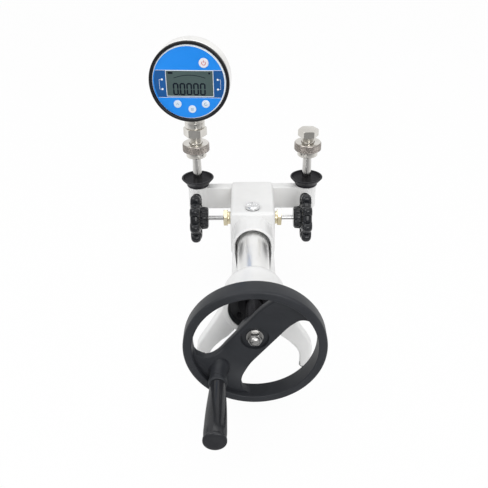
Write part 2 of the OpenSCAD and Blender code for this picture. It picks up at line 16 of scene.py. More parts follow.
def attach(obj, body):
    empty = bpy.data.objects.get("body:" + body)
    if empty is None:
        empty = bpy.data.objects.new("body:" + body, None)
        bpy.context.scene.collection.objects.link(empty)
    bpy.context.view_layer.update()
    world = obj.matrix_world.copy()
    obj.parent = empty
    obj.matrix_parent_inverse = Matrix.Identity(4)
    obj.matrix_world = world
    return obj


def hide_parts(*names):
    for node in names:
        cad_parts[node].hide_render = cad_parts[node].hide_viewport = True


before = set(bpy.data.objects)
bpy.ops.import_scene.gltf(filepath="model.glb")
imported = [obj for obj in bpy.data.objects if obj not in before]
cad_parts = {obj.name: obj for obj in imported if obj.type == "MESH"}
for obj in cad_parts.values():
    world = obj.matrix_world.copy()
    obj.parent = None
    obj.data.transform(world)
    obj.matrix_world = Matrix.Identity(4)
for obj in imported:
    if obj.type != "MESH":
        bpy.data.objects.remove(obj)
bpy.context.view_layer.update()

# %% [markdown]
# ## Camera
# The pump stands on a table and the eye looks at it from the front and from
# above, about 32 degrees down. The lens is short of a portrait lens, so the
# handwheel in front looks a little larger than the parts behind it.

# %% Camera
eye = Vector((-0.0056, -0.7629, 0.4812))
down, turn, roll = math.radians(31.55), math.radians(-0.50), math.radians(-0.75)
ahead = Vector((math.sin(turn) * math.cos(down), math.cos(turn) * math.cos(down), -math.sin(down)))
side = Vector((math.cos(turn), -math.sin(turn), 0.0))
top = side.cross(ahead)
right = side * math.cos(roll) + top * math.sin(roll)
up = -side * math.sin(roll) + top * math.cos(roll)
camera_data = bpy.data.cameras.new("camera")
camera_data.sensor_width = 36.0
camera_data.lens = 44.71
camera = bpy.data.objects.new("camera", camera_data)
bpy.context.scene.collection.objects.link(camera)
camera.matrix_world = Matrix((
    (right.x, up.x, -ahead.x, eye.x),
    (right.y, up.y, -ahead.y, eye.y),
    (right.z, up.z, -ahead.z, eye.z),
    (0, 0, 0, 1)))
bpy.context.scene.camera = camera

# %% [markdown]
# ## Measures
# The sizes below are the same as those of the solid parts, in millimetres.
# A drawing is easier to think about in millimetres, so every shape is worked
# out in them and scaled to metres only when its mesh is made.

# %% Measures
MM = 0.001
AXIS = 83.5          # height of the barrel axis
POST_X = 75.0        # each outlet post from the middle
ARM_Y = -0.5
RIM_BACK, RIM_FRONT = 294.6, 314.6   # towards the operator from the posts
WHEEL_R, RIM_IN = 71.0, 62.0
HANDLE_X = 50.0 * math.cos(math.radians(222))
HANDLE_Z = AXIS + 50.0 * math.sin(math.radians(222))
TAU = 2 * math.pi

# %% [markdown]
# ## Mesh helpers
# Nearly every piece is one of two kinds of surface. A turned piece is a
# profile spun about an axis, as on a lathe. A carried piece is an outline
# moved along a direction while it shrinks a little at each end, which rounds
# its edges. Both come down to a grid of points with quads between them, so
# one function makes the quads and one turns the arrays into a mesh. The last
# step measures the volume inside the faces: a negative one means that they
# point inwards, and all of them are then reversed.

# %% Grid of quads, and mesh from arrays
def grid_faces(rows, cols, wrap_rows=False, wrap_cols=True):
    """Quad (i, j), (i, j+1), (i+1, j+1), (i+1, j) for each cell of the grid."""
    r = np.arange(rows if wrap_rows else rows - 1)
    c = np.arange(cols if wrap_cols else cols - 1)
    i, j = np.meshgrid(r, c, indexing="ij")
    i2, j2 = (i + 1) % rows, (j + 1) % cols
    return np.stack([i * cols + j, i * cols + j2, i2 * cols + j2, i2 * cols + j], -1).reshape(-1, 4)


def closed_grid(rows, cols):
    """The grid's quads, and one face across its first row and one across its last."""
    ends = [list(range(cols))[::-1], [(rows - 1) * cols + k for k in range(cols)]]
    return grid_faces(rows, cols).tolist() + ends


def volume_inside(points, faces):
    """Sum of the signed tetrahedra from the origin to each face's fan."""
    total = 0.0
    for face in faces:
        if len(face) > 4:
            p = points[list(face)]
            total += np.einsum("ij,ij->i", np.cross(np.broadcast_to(p[0], p[1:-1].shape), p[1:-1]), p[2:]).sum()
    quads = np.array([f for f in faces if len(f) == 4])
    if len(quads):
        a, b, c, d = (points[quads[:, k]] for k in range(4))
        total += np.einsum("ij,ij->i", np.cross(a, b), c).sum() + np.einsum("ij,ij->i", np.cross(a, c), d).sum()
    tris = np.array([f for f in faces if len(f) == 3])
    if len(tris):
        a, b, c = (points[tris[:, k]] for k in range(3))
        total += np.einsum("ij,ij->i", np.cross(a, b), c).sum()
    return total / 6


made_pieces = {}


def put_piece(name, points, faces, finish, slot, body, stands_for=(), crease=38):
    """Makes the mesh (points in mm), gives it its finish and rides it on a body."""
    points = np.asarray(points, float) * MM
    centre = points.mean(0)
    if volume_inside(points - centre, faces) < 0:
        faces = [tuple(reversed([int(v) for v in f])) for f in faces]
    else:
        faces = [tuple(int(v) for v in f) for f in faces]
    mesh = bpy.data.meshes.new(name)
    mesh.from_pydata(points.tolist(), [], faces)
    mesh.polygons.foreach_set("use_smooth", np.ones(len(mesh.polygons), bool))
    mesh.set_sharp_from_angle(angle=math.radians(crease))
    mesh.materials.append(finish)
    mesh.update()
    piece = bpy.data.objects.new(name, mesh)
    bpy.context.scene.collection.objects.link(piece)
    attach(piece, body)
    if stands_for:
        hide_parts(*stands_for)
    made_pieces[name] = len(mesh.polygons)
    return piece


# %% [markdown]
# A frame of axes says where a drawing stands. `Stand` holds an origin and
# three directions: two for the drawing and one for the way it is spun or
# carried. Most pieces stand upright on a post or lie along the barrel. Each
# valve points out of its own side, and the gauge has axes of its own, because
# its post lets it turn a few degrees to the left.

# %% Places that drawings stand in
class Stand:
    """point(a, b, h) = origin + a * A + b * B + h * H, in millimetres."""

    def __init__(self, origin, a, b, h):
        self.origin = np.array(origin, float)
        self.axes = np.array([a, b, h], float)

    def point(self, a, b, h):
        grid = np.stack(np.broadcast_arrays(a, b, h), -1)
        return grid @ self.axes + self.origin


def upright(x, y):
    return Stand((x, y, 0), (1, 0, 0), (0, 1, 0), (0, 0, 1))


def along(x, z):
    """h runs towards the operator, so h = -Y."""
    return Stand((x, 0, z), (1, 0, 0), (0, 0, 1), (0, -1, 0))


barrel_line = along(0, AXIS)
handle_line = along(HANDLE_X, HANDLE_Z)
left_post, right_post = upright(-POST_X, ARM_Y), upright(POST_X, ARM_Y)
posts = ((left_post, "left", "l"), (right_post, "right", "r"))
VALVE_Y, VALVE_Z = -49.0, AXIS + 1.0
LEFT_OPEN = 4.2      # how far the left valve stands unscrewed
left_valve = Stand((0, VALVE_Y, VALVE_Z), (0, -1, 0), (0, 0, 1), (-1, 0, 0))
right_valve = Stand((0, VALVE_Y, VALVE_Z), (0, 1, 0), (0, 0, 1), (1, 0, 0))
valves = ((left_valve, "left", LEFT_OPEN), (right_valve, "right", 0.0))
YAW = math.radians(-4)
GAUGE_Z = 261.8
gauge_stand = Stand((-POST_X, ARM_Y, GAUGE_Z), (math.cos(YAW), math.sin(YAW), 0), (0, 0, 1),
                    (math.sin(YAW), -math.cos(YAW), 0))

# %% [markdown]
# ## Profiles
# A real edge is never sharp: a casting has a radius of a millimetre or two
# and a turned part has a small chamfer. `rounded` takes a polyline and a
# radius for each corner and swaps the corner for a short arc, so a profile
# can be typed as a few plain points and still catch the light on its edges.

# %% Rounded polylines
def rounded(points, radii, steps=5, closed=False):
    """Each corner P becomes a quadratic arc between P + r*(to neighbours)."""
    p = np.array(points, float)
    n = len(p)
    r = np.broadcast_to(np.array(radii, float), (n,))
    out = []
    for k in range(n):
        if not closed and k in (0, n - 1) or r[k] == 0:
            out.append(p[k][None])
            continue
        back, on = p[k - 1] - p[k], p[(k + 1) % n] - p[k]
        lb, lo = np.linalg.norm(back), np.linalg.norm(on)
        reach = min(r[k], 0.49 * lb, 0.49 * lo)
        a, b = p[k] + back / lb * reach, p[k] + on / lo * reach
        t = np.linspace(0, 1, steps)[:, None]
        out.append((1 - t) ** 2 * a + 2 * t * (1 - t) * (p[k] * 0.85 + (a + b) * 0.075) + t ** 2 * b)
    return np.concatenate(out)


def turned(name, profile, stand, finish, slot, body, stands_for=(), seg=96, ring=False,
           shape=None, crease=38):
    """Spins (radius, height) pairs: point = (r cos t, r sin t, h).

    A profile that starts and ends on the axis is a solid; ring=True joins
    its last pair to its first, for a tube. shape(r, t, h) may change r."""
    prof = np.array(profile, float)
    r = np.repeat(prof[:, :1], seg, 1)
    h = np.repeat(prof[:, 1:], seg, 1)
    angle = np.broadcast_to(np.linspace(0, TAU, seg, endpoint=False), r.shape)
    if shape is not None:
        r = shape(r, angle, h)
    pts = stand.point(r * np.cos(angle), r * np.sin(angle), h)
    if ring:
        return put_piece(name, pts.reshape(-1, 3), grid_faces(len(prof), seg, wrap_rows=True), finish, slot, body,
                         stands_for, crease)
    ends = stand.point(0, 0, prof[[0, -1], 1])
    rows = len(prof) - 2
    faces = grid_faces(rows, seg).tolist()
    j = np.arange(seg)
    first, last = rows * seg, rows * seg + 1
    faces += np.stack([np.full(seg, first), (j + 1) % seg, j], 1).tolist()
    faces += np.stack([np.full(seg, last), (rows - 1) * seg + j, (rows - 1) * seg + (j + 1) % seg], 1).tolist()
    return put_piece(name, np.concatenate([pts[1:-1].reshape(-1, 3), ends]), faces, finish, slot, body, stands_for,
                     crease)


def straight(radius, heights):
    """One radius at many heights, for the part of a profile that a shape rule will change."""
    return np.stack([np.full(len(heights), radius), heights], 1)


def inset(outline, distance):
    """Moves each point of a counter-clockwise outline inwards along its normal."""
    tangent = np.roll(outline, -1, 0) - np.roll(outline, 1, 0)
    tangent /= np.linalg.norm(tangent, axis=1, keepdims=True) + 1e-12
    return outline + distance * np.stack([-tangent[:, 1], tangent[:, 0]], 1)


def edge_round(h0, h1, radius, steps=6, radius_end=None):
    """(inset, height) pairs: a quarter circle in, straight up, a quarter circle out."""
    r1 = radius if radius_end is None else radius_end
    a = np.linspace(0, math.pi / 2, steps)
    low = np.stack([radius * (1 - np.sin(a)), h0 + radius * (1 - np.cos(a))], 1)
    high = np.stack([r1 * (1 - np.cos(a)), h1 - r1 + r1 * np.sin(a)], 1)
    return np.concatenate([low, high])


def carried(name, outline, stations, stand, finish, slot, body, stands_for=(), crease=38):
    """Carries an outline through (inset, height) stations and closes both ends."""
    outline = np.array(outline, float)
    area = 0.5 * np.sum(outline[:, 0] * np.roll(outline[:, 1], -1) - np.roll(outline[:, 0], -1) * outline[:, 1])
    if area < 0:
        outline = outline[::-1]
    rows = [stand.point(*inset(outline, d).T, h) for d, h in stations]
    pts = np.concatenate(rows)
    return put_piece(name, pts, closed_grid(len(rows), len(outline)), finish, slot, body, stands_for, crease)

# %% [markdown]
# ## Finishes
# Each finish is a small node tree on Object coordinates, which here are
# metres in the pump's own frame. Two noises do the work at two scales: a
# broad one shifts the colour a little, and a fine one varies the roughness, as
# handling and cleaning do, and feeds a Bump node, for the orange
# peel of a powder coat or the lines that a lathe tool leaves. A Mapping node
# stretches the fine noise across the axis of a turned part, and that alone
# turns grain into fine rings.

# %% Finish builder
def add_node(tree, kind, settings=()):
    """A new shader node with some of its sockets set."""
    made = tree.nodes.new("ShaderNode" + kind)
    for socket, value in dict(settings).items():
        made.inputs[socket].default_value = value
    return made


def finish(name, dark, light, rough, metallic=0.0, rough_spread=0.06, broad=25.0, fine=(900, 900, 900),
           bump=0.05, depth=0.00005, coat=0.0, coat_rough=0.1, specular=0.5, alpha=1.0):
    """Principled surface: noise(broad) -> two colours, noise(fine) -> roughness and bump."""
    mat = bpy.data.materials.new(name)
    mat.use_nodes = True
    tree, link = mat.node_tree, mat.node_tree.links.new
    shader = tree.nodes["Principled BSDF"]
    for socket, value in (("Metallic", metallic), ("Coat Weight", coat), ("Coat Roughness", coat_rough),
                          ("Specular IOR Level", specular), ("Alpha", alpha)):
        shader.inputs[socket].default_value = value
    where = add_node(tree, "TexCoord")
    patch = add_node(tree, "TexNoise", {"Scale": broad, "Detail": 3.0})
    link(where.outputs["Object"], patch.inputs["Vector"])
    ramp = add_node(tree, "ValToRGB")
    for stop, place, colour in zip(ramp.color_ramp.elements, (0.35, 0.65), (dark, light)):
        stop.position, stop.color = place, (*colour, 1)
    link(patch.outputs["Fac"], ramp.inputs["Fac"])
    link(ramp.outputs["Color"], shader.inputs["Base Color"])
    stretch = add_node(tree, "Mapping", {"Scale": fine})
    link(where.outputs["Object"], stretch.inputs["Vector"])
    grain = add_node(tree, "TexNoise", {"Scale": 1.0, "Detail": 4.0})
    link(stretch.outputs["Vector"], grain.inputs["Vector"])
    spread = add_node(tree, "MapRange", {"To Min": max(0.02, rough - rough_spread), "To Max": rough + rough_spread})
    link(grain.outputs["Fac"], spread.inputs["Value"])
    link(spread.outputs["Result"], shader.inputs["Roughness"])
    relief = add_node(tree, "Bump", {"Strength": bump, "Distance": depth})
    link(grain.outputs["Fac"], relief.inputs["Height"])
    link(relief.outputs["Normal"], shader.inputs["Normal"])
    return mat


# %% [markdown]
# The white paint is a powder coat, which is smooth with a faint orange peel.
# The handwheel is a satin black, and the valve knobs and the revolving
# handle are the same black with a gloss. The posts and nuts are turned and
# nickel-plated, which is a warmer grey than chrome.

# %% Paints, plastics and rubber
white_paint = finish("white_paint", (0.80, 0.80, 0.795), (0.86, 0.86, 0.855), 0.34, fine=(1400, 1400, 1400),
                     bump=0.10, depth=0.00004, coat=0.25, coat_rough=0.12)
satin_black = finish("satin_black", (0.024, 0.026, 0.030), (0.031, 0.033, 0.038), 0.40, fine=(2600, 2600, 2600),
                     bump=0.22, depth=0.00005, rough_spread=0.08, specular=0.24)
knob_black = finish("knob_black", (0.012, 0.013, 0.015), (0.017, 0.018, 0.021), 0.13, fine=(500, 500, 500),
                    bump=0.03, depth=0.00004, rough_spread=0.04, specular=0.34)
gloss_black = finish("gloss_black", (0.017, 0.0175, 0.020), (0.023, 0.024, 0.027), 0.20, fine=(500, 500, 500),
                     bump=0.03, depth=0.00004, rough_spread=0.05, specular=0.30)
# Black of the gauge's back cover; the same black lines the bell's mouth as painted shade.
back_black_and_shade = finish("back_black_and_shade", (0.034, 0.035, 0.038), (0.044, 0.045, 0.049), 0.5, fine=(1800, 1800, 1800),
                    bump=0.25, depth=0.00005)
bezel_black = finish("bezel_black", (0.008, 0.008, 0.009), (0.012, 0.012, 0.014), 0.25, fine=(1500, 1500, 1500),
                     bump=0.06, depth=0.00003, specular=0.3)
black_rubber = finish("black_rubber", (0.013, 0.013, 0.016), (0.021, 0.021, 0.025), 0.45, fine=(1600, 1600, 1600),
                      bump=0.2, depth=0.00006, rough_spread=0.1, specular=0.22)
white_packing = finish("white_packing", (0.75, 0.75, 0.73), (0.82, 0.82, 0.80), 0.45)

# %% Metals
def turned_metal(name, dark, light, rough, axis, bump=0.3, **more):
    """Fine noise stretched 60 times across the lathe axis gives tool rings."""
    lines = [60.0, 60.0, 60.0]
    lines["xyz".index(axis)] = 6000.0
    return finish(name, dark, light, rough, metallic=1.0, fine=tuple(lines), bump=bump, depth=0.00002,
                  rough_spread=0.09, **more)


chrome = finish("chrome", (0.74, 0.745, 0.75), (0.80, 0.805, 0.81), 0.10, metallic=1.0, rough_spread=0.05,
                fine=(90, 5000, 90), bump=0.08, depth=0.00002)
barrel_chrome = finish("barrel_chrome", (0.84, 0.84, 0.83), (0.94, 0.94, 0.93), 0.32, metallic=1.0,
                       rough_spread=0.06, fine=(90, 4000, 90), bump=0.06, depth=0.00002)
post_steel = turned_metal("post_steel", (0.54, 0.53, 0.515), (0.66, 0.65, 0.63), 0.15, "z")
nickel = turned_metal("nickel", (0.60, 0.58, 0.54), (0.73, 0.71, 0.67), 0.17, "z", bump=0.2)
knurl_steel = turned_metal("knurl_steel", (0.34, 0.31, 0.285), (0.43, 0.395, 0.365), 0.24, "z", bump=0.2)
case_steel = turned_metal("case_steel", (0.84, 0.835, 0.82), (0.95, 0.945, 0.93), 0.36, "y")
# Nearly black steel for the leadscrew; on the bronze drive nut the same black is painted shade for the bell's deep
# mouth.
screw_steel_and_shade = turned_metal("screw_steel_and_shade", (0.035, 0.035, 0.038), (0.06, 0.06, 0.065), 0.42, "y")
cross_steel = turned_metal("cross_steel", (0.44, 0.44, 0.44), (0.58, 0.58, 0.58), 0.22, "x")
wheel_steel = turned_metal("wheel_steel", (0.48, 0.475, 0.465), (0.62, 0.61, 0.60), 0.26, "y")
dark_steel = finish("dark_steel", (0.05, 0.05, 0.055), (0.09, 0.09, 0.095), 0.4, metallic=1.0)
brass = turned_metal("brass", (0.80, 0.70, 0.46), (0.94, 0.86, 0.66), 0.26, "x")
bronze = turned_metal("bronze", (0.42, 0.28, 0.13), (0.55, 0.38, 0.19), 0.35, "y")

# %% Gauge face, display and keys
face_blue = finish("face_blue", (0.015, 0.235, 0.77), (0.020, 0.255, 0.82), 0.30, broad=18, fine=(2500, 2500, 2500),
                   bump=0.05, depth=0.00002, specular=0.10)
band_blue = finish("band_blue", (0.011, 0.080, 0.255), (0.016, 0.098, 0.31), 0.30, broad=18, fine=(2500, 2500, 2500),
                   bump=0.05, depth=0.00002, specular=0.10)
display_grey = finish("display_grey", (0.066, 0.098, 0.096), (0.076, 0.112, 0.110), 0.3, broad=30,
                      fine=(3500, 3500, 3500), bump=0.04, depth=0.00001, specular=0.10)
segment_ink = finish("segment_ink", (0.005, 0.008, 0.016), (0.008, 0.012, 0.022), 0.35, specular=0.10)
line_white = finish("line_white", (0.72, 0.78, 0.84), (0.80, 0.85, 0.90), 0.35)
key_white = finish("key_white", (0.74, 0.72, 0.76), (0.82, 0.80, 0.84), 0.28, coat=0.4)
key_pale = finish("key_pale", (0.58, 0.68, 0.80), (0.68, 0.77, 0.88), 0.28, coat=0.4)
key_red = finish("key_red", (0.52, 0.05, 0.06), (0.60, 0.07, 0.08), 0.3)
key_line = finish("key_line", (0.12, 0.22, 0.42), (0.16, 0.27, 0.48), 0.35)
clear_window = finish("clear_window", (0.60, 0.68, 0.66), (0.64, 0.72, 0.70), 0.06, rough_spread=0.02, alpha=0.04,
                      bump=0.0, specular=0.15)
green_board = finish("green_board", (0.02, 0.12, 0.05), (0.03, 0.16, 0.07), 0.4)
battery_green = finish("battery_green", (0.05, 0.14, 0.08), (0.07, 0.18, 0.10), 0.35)
print("finishes made:", len(bpy.data.materials))

# %% [markdown]
# Some solids already have the right shape: seals, pads, packings, and what
# is inside. They stay as they are, and only their material slot changes.

# %% Finishes on the solids that stay
stay = {
    "barrel_seal": black_rubber, "foot_pad_fl": black_rubber, "foot_pad_fr": black_rubber,
    "foot_pad_rear": black_rubber, "post_seal_l": black_rubber, "post_seal_r": black_rubber,
    "filler_seal": black_rubber, "packing_l": white_packing, "packing_r": white_packing,
    "support_screw_l": dark_steel, "support_screw_r": dark_steel, "needle_l": cross_steel,
    "needle_r": cross_steel, "piston": bronze, "piston_seal": black_rubber,
    "thrust_bearing": screw_steel_and_shade, "gauge_board": green_board, "gauge_lcd": display_grey,
    "pressure_sensor": post_steel, "battery_pack": battery_green, "handle_pin": wheel_steel,
    "gauge_window": clear_window, "valve_stem_l": cross_steel, "valve_stem_r": cross_steel,
}
for node, kept_finish in stay.items():
    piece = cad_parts[node]
    if not piece.material_slots:
        piece.data.materials.append(kept_finish)
    for place in piece.material_slots:
        place.material = kept_finish

# What a piece is painted with, the slot it fills and the body it rides on.
cast = (white_paint, "white_paint", "body")
wheel = (satin_black, "satin_black", "wheel_group")
wheel_metal = (wheel_steel, "steel", "wheel_group")

# %% [markdown]
# ## The casting
# One white casting holds everything. On the real pump the block, the arm with
# its end bosses, the round collar and the open cradle come out of one mould
# with soft edges. They are built as rounded pieces that run into each other,
# which gives the same outside and keeps each surface a simple grid. The block
# and the foot are rounded boxes: an outline with round corners, carried up.

# %% Block and rear foot
def box_outline(x0, x1, y0, y1, corner, steps=7):
    """Rectangle with quarter-circle corners, counter-clockwise."""
    a = np.linspace(0, math.pi / 2, steps)
    c, s = np.cos(a), np.sin(a)
    k = corner
    return np.concatenate([
        np.stack([x1 - k + k * c, y1 - k + k * s], 1), np.stack([x0 + k - k * s, y1 - k + k * c], 1),
        np.stack([x0 + k - k * c, y0 + k - k * s], 1), np.stack([x1 - k + k * s, y0 + k - k * c], 1)])


table_top = upright(0, 0)
carried("block", box_outline(-28.7, 28.7, -87.9, 7, 4.6), edge_round(52, 112, 1.6, 8, 4.2), table_top,
        *cast, ("body_casting",))
carried("rear_foot", box_outline(-23.7, 23.7, -58, 1, 5), edge_round(3, 56, 1.6), table_top,
        *cast)

# %% [markdown]
# The arm meets each boss with a fillet. In plan that is a circle tangent to
# the arm's straight side and to the boss: its centre lies one fillet radius
# off the line and one fillet radius outside the boss, so Pythagoras gives it.
# The outline below runs along the arm and round that small circle on both
# sides, and stops inside the boss, where the boss hides its end.

# %% Arm and bosses
def arm_outline(half, boss, fillet):
    """One quarter: straight side, then an arc of the fillet circle down to the boss."""
    cy = half + fillet
    cx = POST_X - math.sqrt((boss + fillet) ** 2 - cy ** 2)
    stop = math.atan2(-cy, POST_X - cx)
    a = np.linspace(-math.pi / 2, stop, 9)
    arc = np.stack([cx + fillet * np.cos(a), cy + fillet * np.sin(a)], 1)
    end = np.array([[POST_X - 2.0, arc[-1, 1]]])
    quarter = np.concatenate([np.array([[0.0, half]]), arc, end])
    top_side = np.concatenate([quarter[::-1], quarter[1:] * [-1, 1]])
    return np.concatenate([top_side, top_side[::-1] * [1, -1]])


carried("arm", arm_outline(7.7, 13.75, 6.0) + [0, ARM_Y], edge_round(76.7, 108.8, 1.4), table_top,
        *cast)
for name, post in (("boss_left", left_post), ("boss_right", right_post)):
    turned(name, rounded([(0, 76.7), (13.75, 76.7), (13.75, 110), (0, 110)], [0, 2, 1.4, 0]), post,
           *cast)

# %% [markdown]
# The collar is a tube that is bored wider in front, and the cradle in front
# of it is the lower half of the same tube, cut off level with the axis. Its
# section is a half ring with rounded lips, and it is carried towards the
# operator up to the bell. A saddle fills the gap under the barrel towards the
# bell and takes the bell's screws: its inner radius falls along a straight
# line until it meets the barrel, and then follows it.

# %% Collar and cradle
turned("collar", rounded([(19.35, 85), (25.4, 85), (25.4, 120), (22.2, 120), (22.2, 104), (19.35, 104)],
                         [0, 0, 1.1, 0.6, 0, 0.4], closed=True), barrel_line, *cast, ring=True, seg=128)
swing = np.linspace(math.pi, TAU, 40)
lip = np.linspace(0, math.pi, 9)[1:-1]
cradle_section = np.concatenate([
    np.stack([25.4 * np.cos(swing), 25.4 * np.sin(swing)], 1),
    np.stack([23.8 + 1.6 * np.cos(lip), 1.2 * np.sin(lip)], 1),
    np.stack([22.2 * np.cos(swing[::-1]), 22.2 * np.sin(swing[::-1])], 1),
    np.stack([-23.8 + 1.6 * np.cos(lip), 1.2 * np.sin(lip)], 1)]) + [0, -1.2]
carried("cradle", cradle_section, [(0, 118), (0, 120), (0, 201.7)], barrel_line, *cast)
low_swing = np.linspace(math.pi - 0.01, TAU + 0.01, 48)
there_and_back = np.concatenate([low_swing, low_swing[::-1]])
saddle_rows = []
for inner_r, h in ((22.3, 139), (19.4, 172), (19.4, 201.6)):
    r = np.repeat([23.9, inner_r], 48)
    saddle_rows.append(barrel_line.point(r * np.cos(there_and_back), r * np.sin(there_and_back), h))
put_piece("saddle", np.concatenate(saddle_rows), closed_grid(3, 96), *cast, crease=40)

# %% [markdown]
# ## Front support
# The bell is a turned shape: a narrow ring where the barrel enters, a steep
# flare, and a straight rim round a deep mouth. Where the flare runs out into
# the rim, its corner is rounded so far that it reads as one soft shoulder.
# A thin black sheet lines the mouth: painted shade for the wheel's shadow in it.

# %% Bell
bell_profile = rounded([(19.35, 201.7), (25.0, 201.7), (34.5, 218.0), (34.5, 249.6), (28.2, 249.6), (28.2, 236),
                        (15.05, 236), (15.05, 206.7), (19.35, 206.7)], [0, 1.8, 5.0, 2.2, 1.4, 1.2, 0, 0, 0], steps=9)
mouth_shade_profile = rounded([(15.2, 236.02), (28.18, 236.02), (28.18, 248.4), (27.9, 248.6), (27.7, 236.6),
                          (15.2, 236.6)], [0, 0, 0, 0, 0.8, 0], closed=True)
# Painted shade: a thin black sheet inside the mouth stands for the wheel's shadow there.
turned("bell_mouth_painted_shade", mouth_shade_profile, barrel_line, back_black_and_shade, "satin_black", "body", ring=True, seg=128)
turned("bell", bell_profile, barrel_line, *cast, ("front_support",), ring=True, seg=128)

# %% [markdown]
# The two legs are one yoke that hangs from the bell's sides. Their outline is
# typed as two chains of corner points, the outer side and the inner side, and
# each chain becomes a smooth curve with the same number of points. A point
# and its partner on the other side share a row, so the flat faces of a leg
# are plain rungs of quads between the two chains.

# %% Legs
def smooth_chain(points, count):
    """Catmull-Rom through the points, then evenly spaced by length."""
    p = np.array(points, float)
    q = np.concatenate([[2 * p[0] - p[1]], p, [2 * p[-1] - p[-2]]])
    t = np.linspace(0, 1, 12, endpoint=False)[:, None]
    bows = [0.5 * (2 * b + (c - a) * t + (2 * a - 5 * b + 4 * c - d) * t ** 2 + (3 * b - a - 3 * c + d) * t ** 3)
            for a, b, c, d in zip(q, q[1:], q[2:], q[3:])]
    curve = np.concatenate(bows + [p[-1:]])
    length = np.concatenate([[0], np.cumsum(np.linalg.norm(np.diff(curve, axis=0), axis=1))])
    x = np.linspace(0, length[-1], count)
    return np.stack([np.interp(x, length, curve[:, k]) for k in (0, 1)], 1)


LEG_ROWS = 60
outer_side = smooth_chain([(33.8, 88), (39.5, 76), (50, 57), (59.6, 41), (63.2, 33), (64.2, 25), (63.4, 17), (61.5, 8),
                           (60.6, 3)], LEG_ROWS)
inner_side = smooth_chain([(29.4, 79.5), (27.3, 72), (23.6, 65), (20.5, 60), (21.5, 55.5), (28, 47.5), (36, 40.6),
                           (44, 32), (48.6, 25), (50.6, 18), (51.5, 10), (51.5, 3)], LEG_ROWS)


def leg(name, place, y_back=236.2, y_front=249.3, soft=2.6):
    """Rows down the leg; each row is a rounded box section between the two chains."""
    across = inner_side - outer_side
    across /= np.linalg.norm(across, axis=1, keepdims=True)
    a = np.linspace(0, math.pi / 2, 6)
    section = [(soft * (1 - math.sin(v)), y_back + soft * (1 - math.cos(v))) for v in a]
    section += [(soft * (1 - math.cos(v)), y_front - soft + soft * math.sin(v)) for v in a]
    rows = [place.point(*(outer_side + across * d).T, y) for d, y in section]
    rows += [place.point(*(inner_side - across * d).T, y) for d, y in section[::-1]]
    points = np.stack(rows, 1)
    put_piece(name, points.reshape(-1, 3), closed_grid(LEG_ROWS, len(rows)), *cast)


leg("leg_right", Stand((0, 0, 0), (1, 0, 0), (0, 0, 1), (0, -1, 0)))
leg("leg_left", Stand((0, 0, 0), (-1, 0, 0), (0, 0, 1), (0, -1, 0)))

# %% [markdown]
# ## Barrel and screw
# The barrel is ground and chromed. The leadscrew shows between the bell and
# the handwheel. Its thread is a real helix: at angle t and height h the
# radius follows a triangle wave of h / pitch - t / (2 pi), so one turn of t
# moves the wave along by one pitch.

# %% Barrel, leadscrew and drive nut
turned("barrel", rounded([(12, 86.5), (19.3, 86.5), (19.3, 206.6), (12, 206.6)], [0.5] * 4, closed=True), barrel_line,
       barrel_chrome, "chrome", "body", ("barrel_tube",), ring=True, seg=160)


def thread(outer, depth, pitch, start, stop):
    """Radius outer - depth * (0.5 + 0.5 * triangle(h/pitch - t/2pi)), faded at both ends."""
    def shape(r, angle, h):
        wave = np.abs(((h / pitch - angle / TAU) % 1.0) * 2 - 1)
        fade = np.clip((h - start) / (0.6 * pitch), 0, 1) * np.clip((stop - h) / (0.6 * pitch), 0, 1)
        cut = np.clip(wave * 1.6 - 0.3, 0, 1) * depth * fade
        return np.where(np.abs(r - outer) < 1e-6, r - cut, r)
    return shape


screw_turns = np.arange(242, 279, 0.25)
screw_profile = np.concatenate([[(0, 150), (9, 150), (9, 241.5)], straight(9.0, screw_turns),
                                [(9, 279.2), (8.4, 280), (6, 280), (6, 292.5), (4, 292.5), (4, 300), (0, 300)]])
turned("leadscrew_thread", screw_profile, barrel_line, screw_steel_and_shade, "steel", "wheel_group", ("leadscrew",), seg=72,
       shape=thread(9.0, 0.9, 2.0, 242, 279))
# Painted shade: the bronze drive nut takes the nearly black screw finish, for its place deep in the bell's shadowed
# mouth.
turned("drive_nut_ring", rounded([(9.05, 207), (15, 207), (15, 236.2), (17.5, 236.2), (17.5, 240), (9.05, 240)],
                                 [0.3, 0.3, 0, 0.3, 0.6, 0.5], closed=True), barrel_line, screw_steel_and_shade, "bronze", "body",
       ("drive_nut",), ring=True)

# %% [markdown]
# ## Handwheel rim
# The rim has a flat front with round edges. Its section is a rounded
# rectangle, a little softer outside than inside, spun round the axis. The
# grid is fine, because this is the piece nearest to the eye.

# %% Rim
rim_section = rounded([(RIM_IN, RIM_BACK + 0.8), (RIM_IN + 1.2, RIM_BACK), (WHEEL_R, RIM_BACK), (WHEEL_R, RIM_FRONT),
                       (RIM_IN, RIM_FRONT)], [0.8, 1.0, 3.2, 3.0, 1.3], steps=8, closed=True)
turned("wheel_rim", rim_section, barrel_line, *wheel, ("handwheel",), ring=True, seg=256, crease=50)

# %% [markdown]
# ## Handwheel web
# A broad dished band crosses the wheel through its hub. Along the band runs
# a coordinate s, across it a coordinate n. The band's two edges are straight,
# and near the rim each runs into a corner circle that is tangent to the edge and
# to the rim; only the upper right corner of the upper opening is sharp. So
# half its width w(s) is a constant, then an arc, then the rim's own circle.
# Its front face sinks towards the hub and rises where the handle stands. At
# each s one closed loop with rounded edges goes round the section.

# %% Web of the handwheel
BAND = math.radians(51)   # the band's slope
HALF = 18.0               # half its width
INNER = RIM_IN + 0.3      # what the corner circles touch
WEB_END = 65.0            # the web ends hidden in the rim
ROUND, THICK = 2.2, 8.2   # edge radius and thickness
WELL_R, WELL_FLOOR = 14.4, 292.5   # sunk round the nut
HUB_R, HUB_BACK = 18.5, 280.0      # boss behind the band


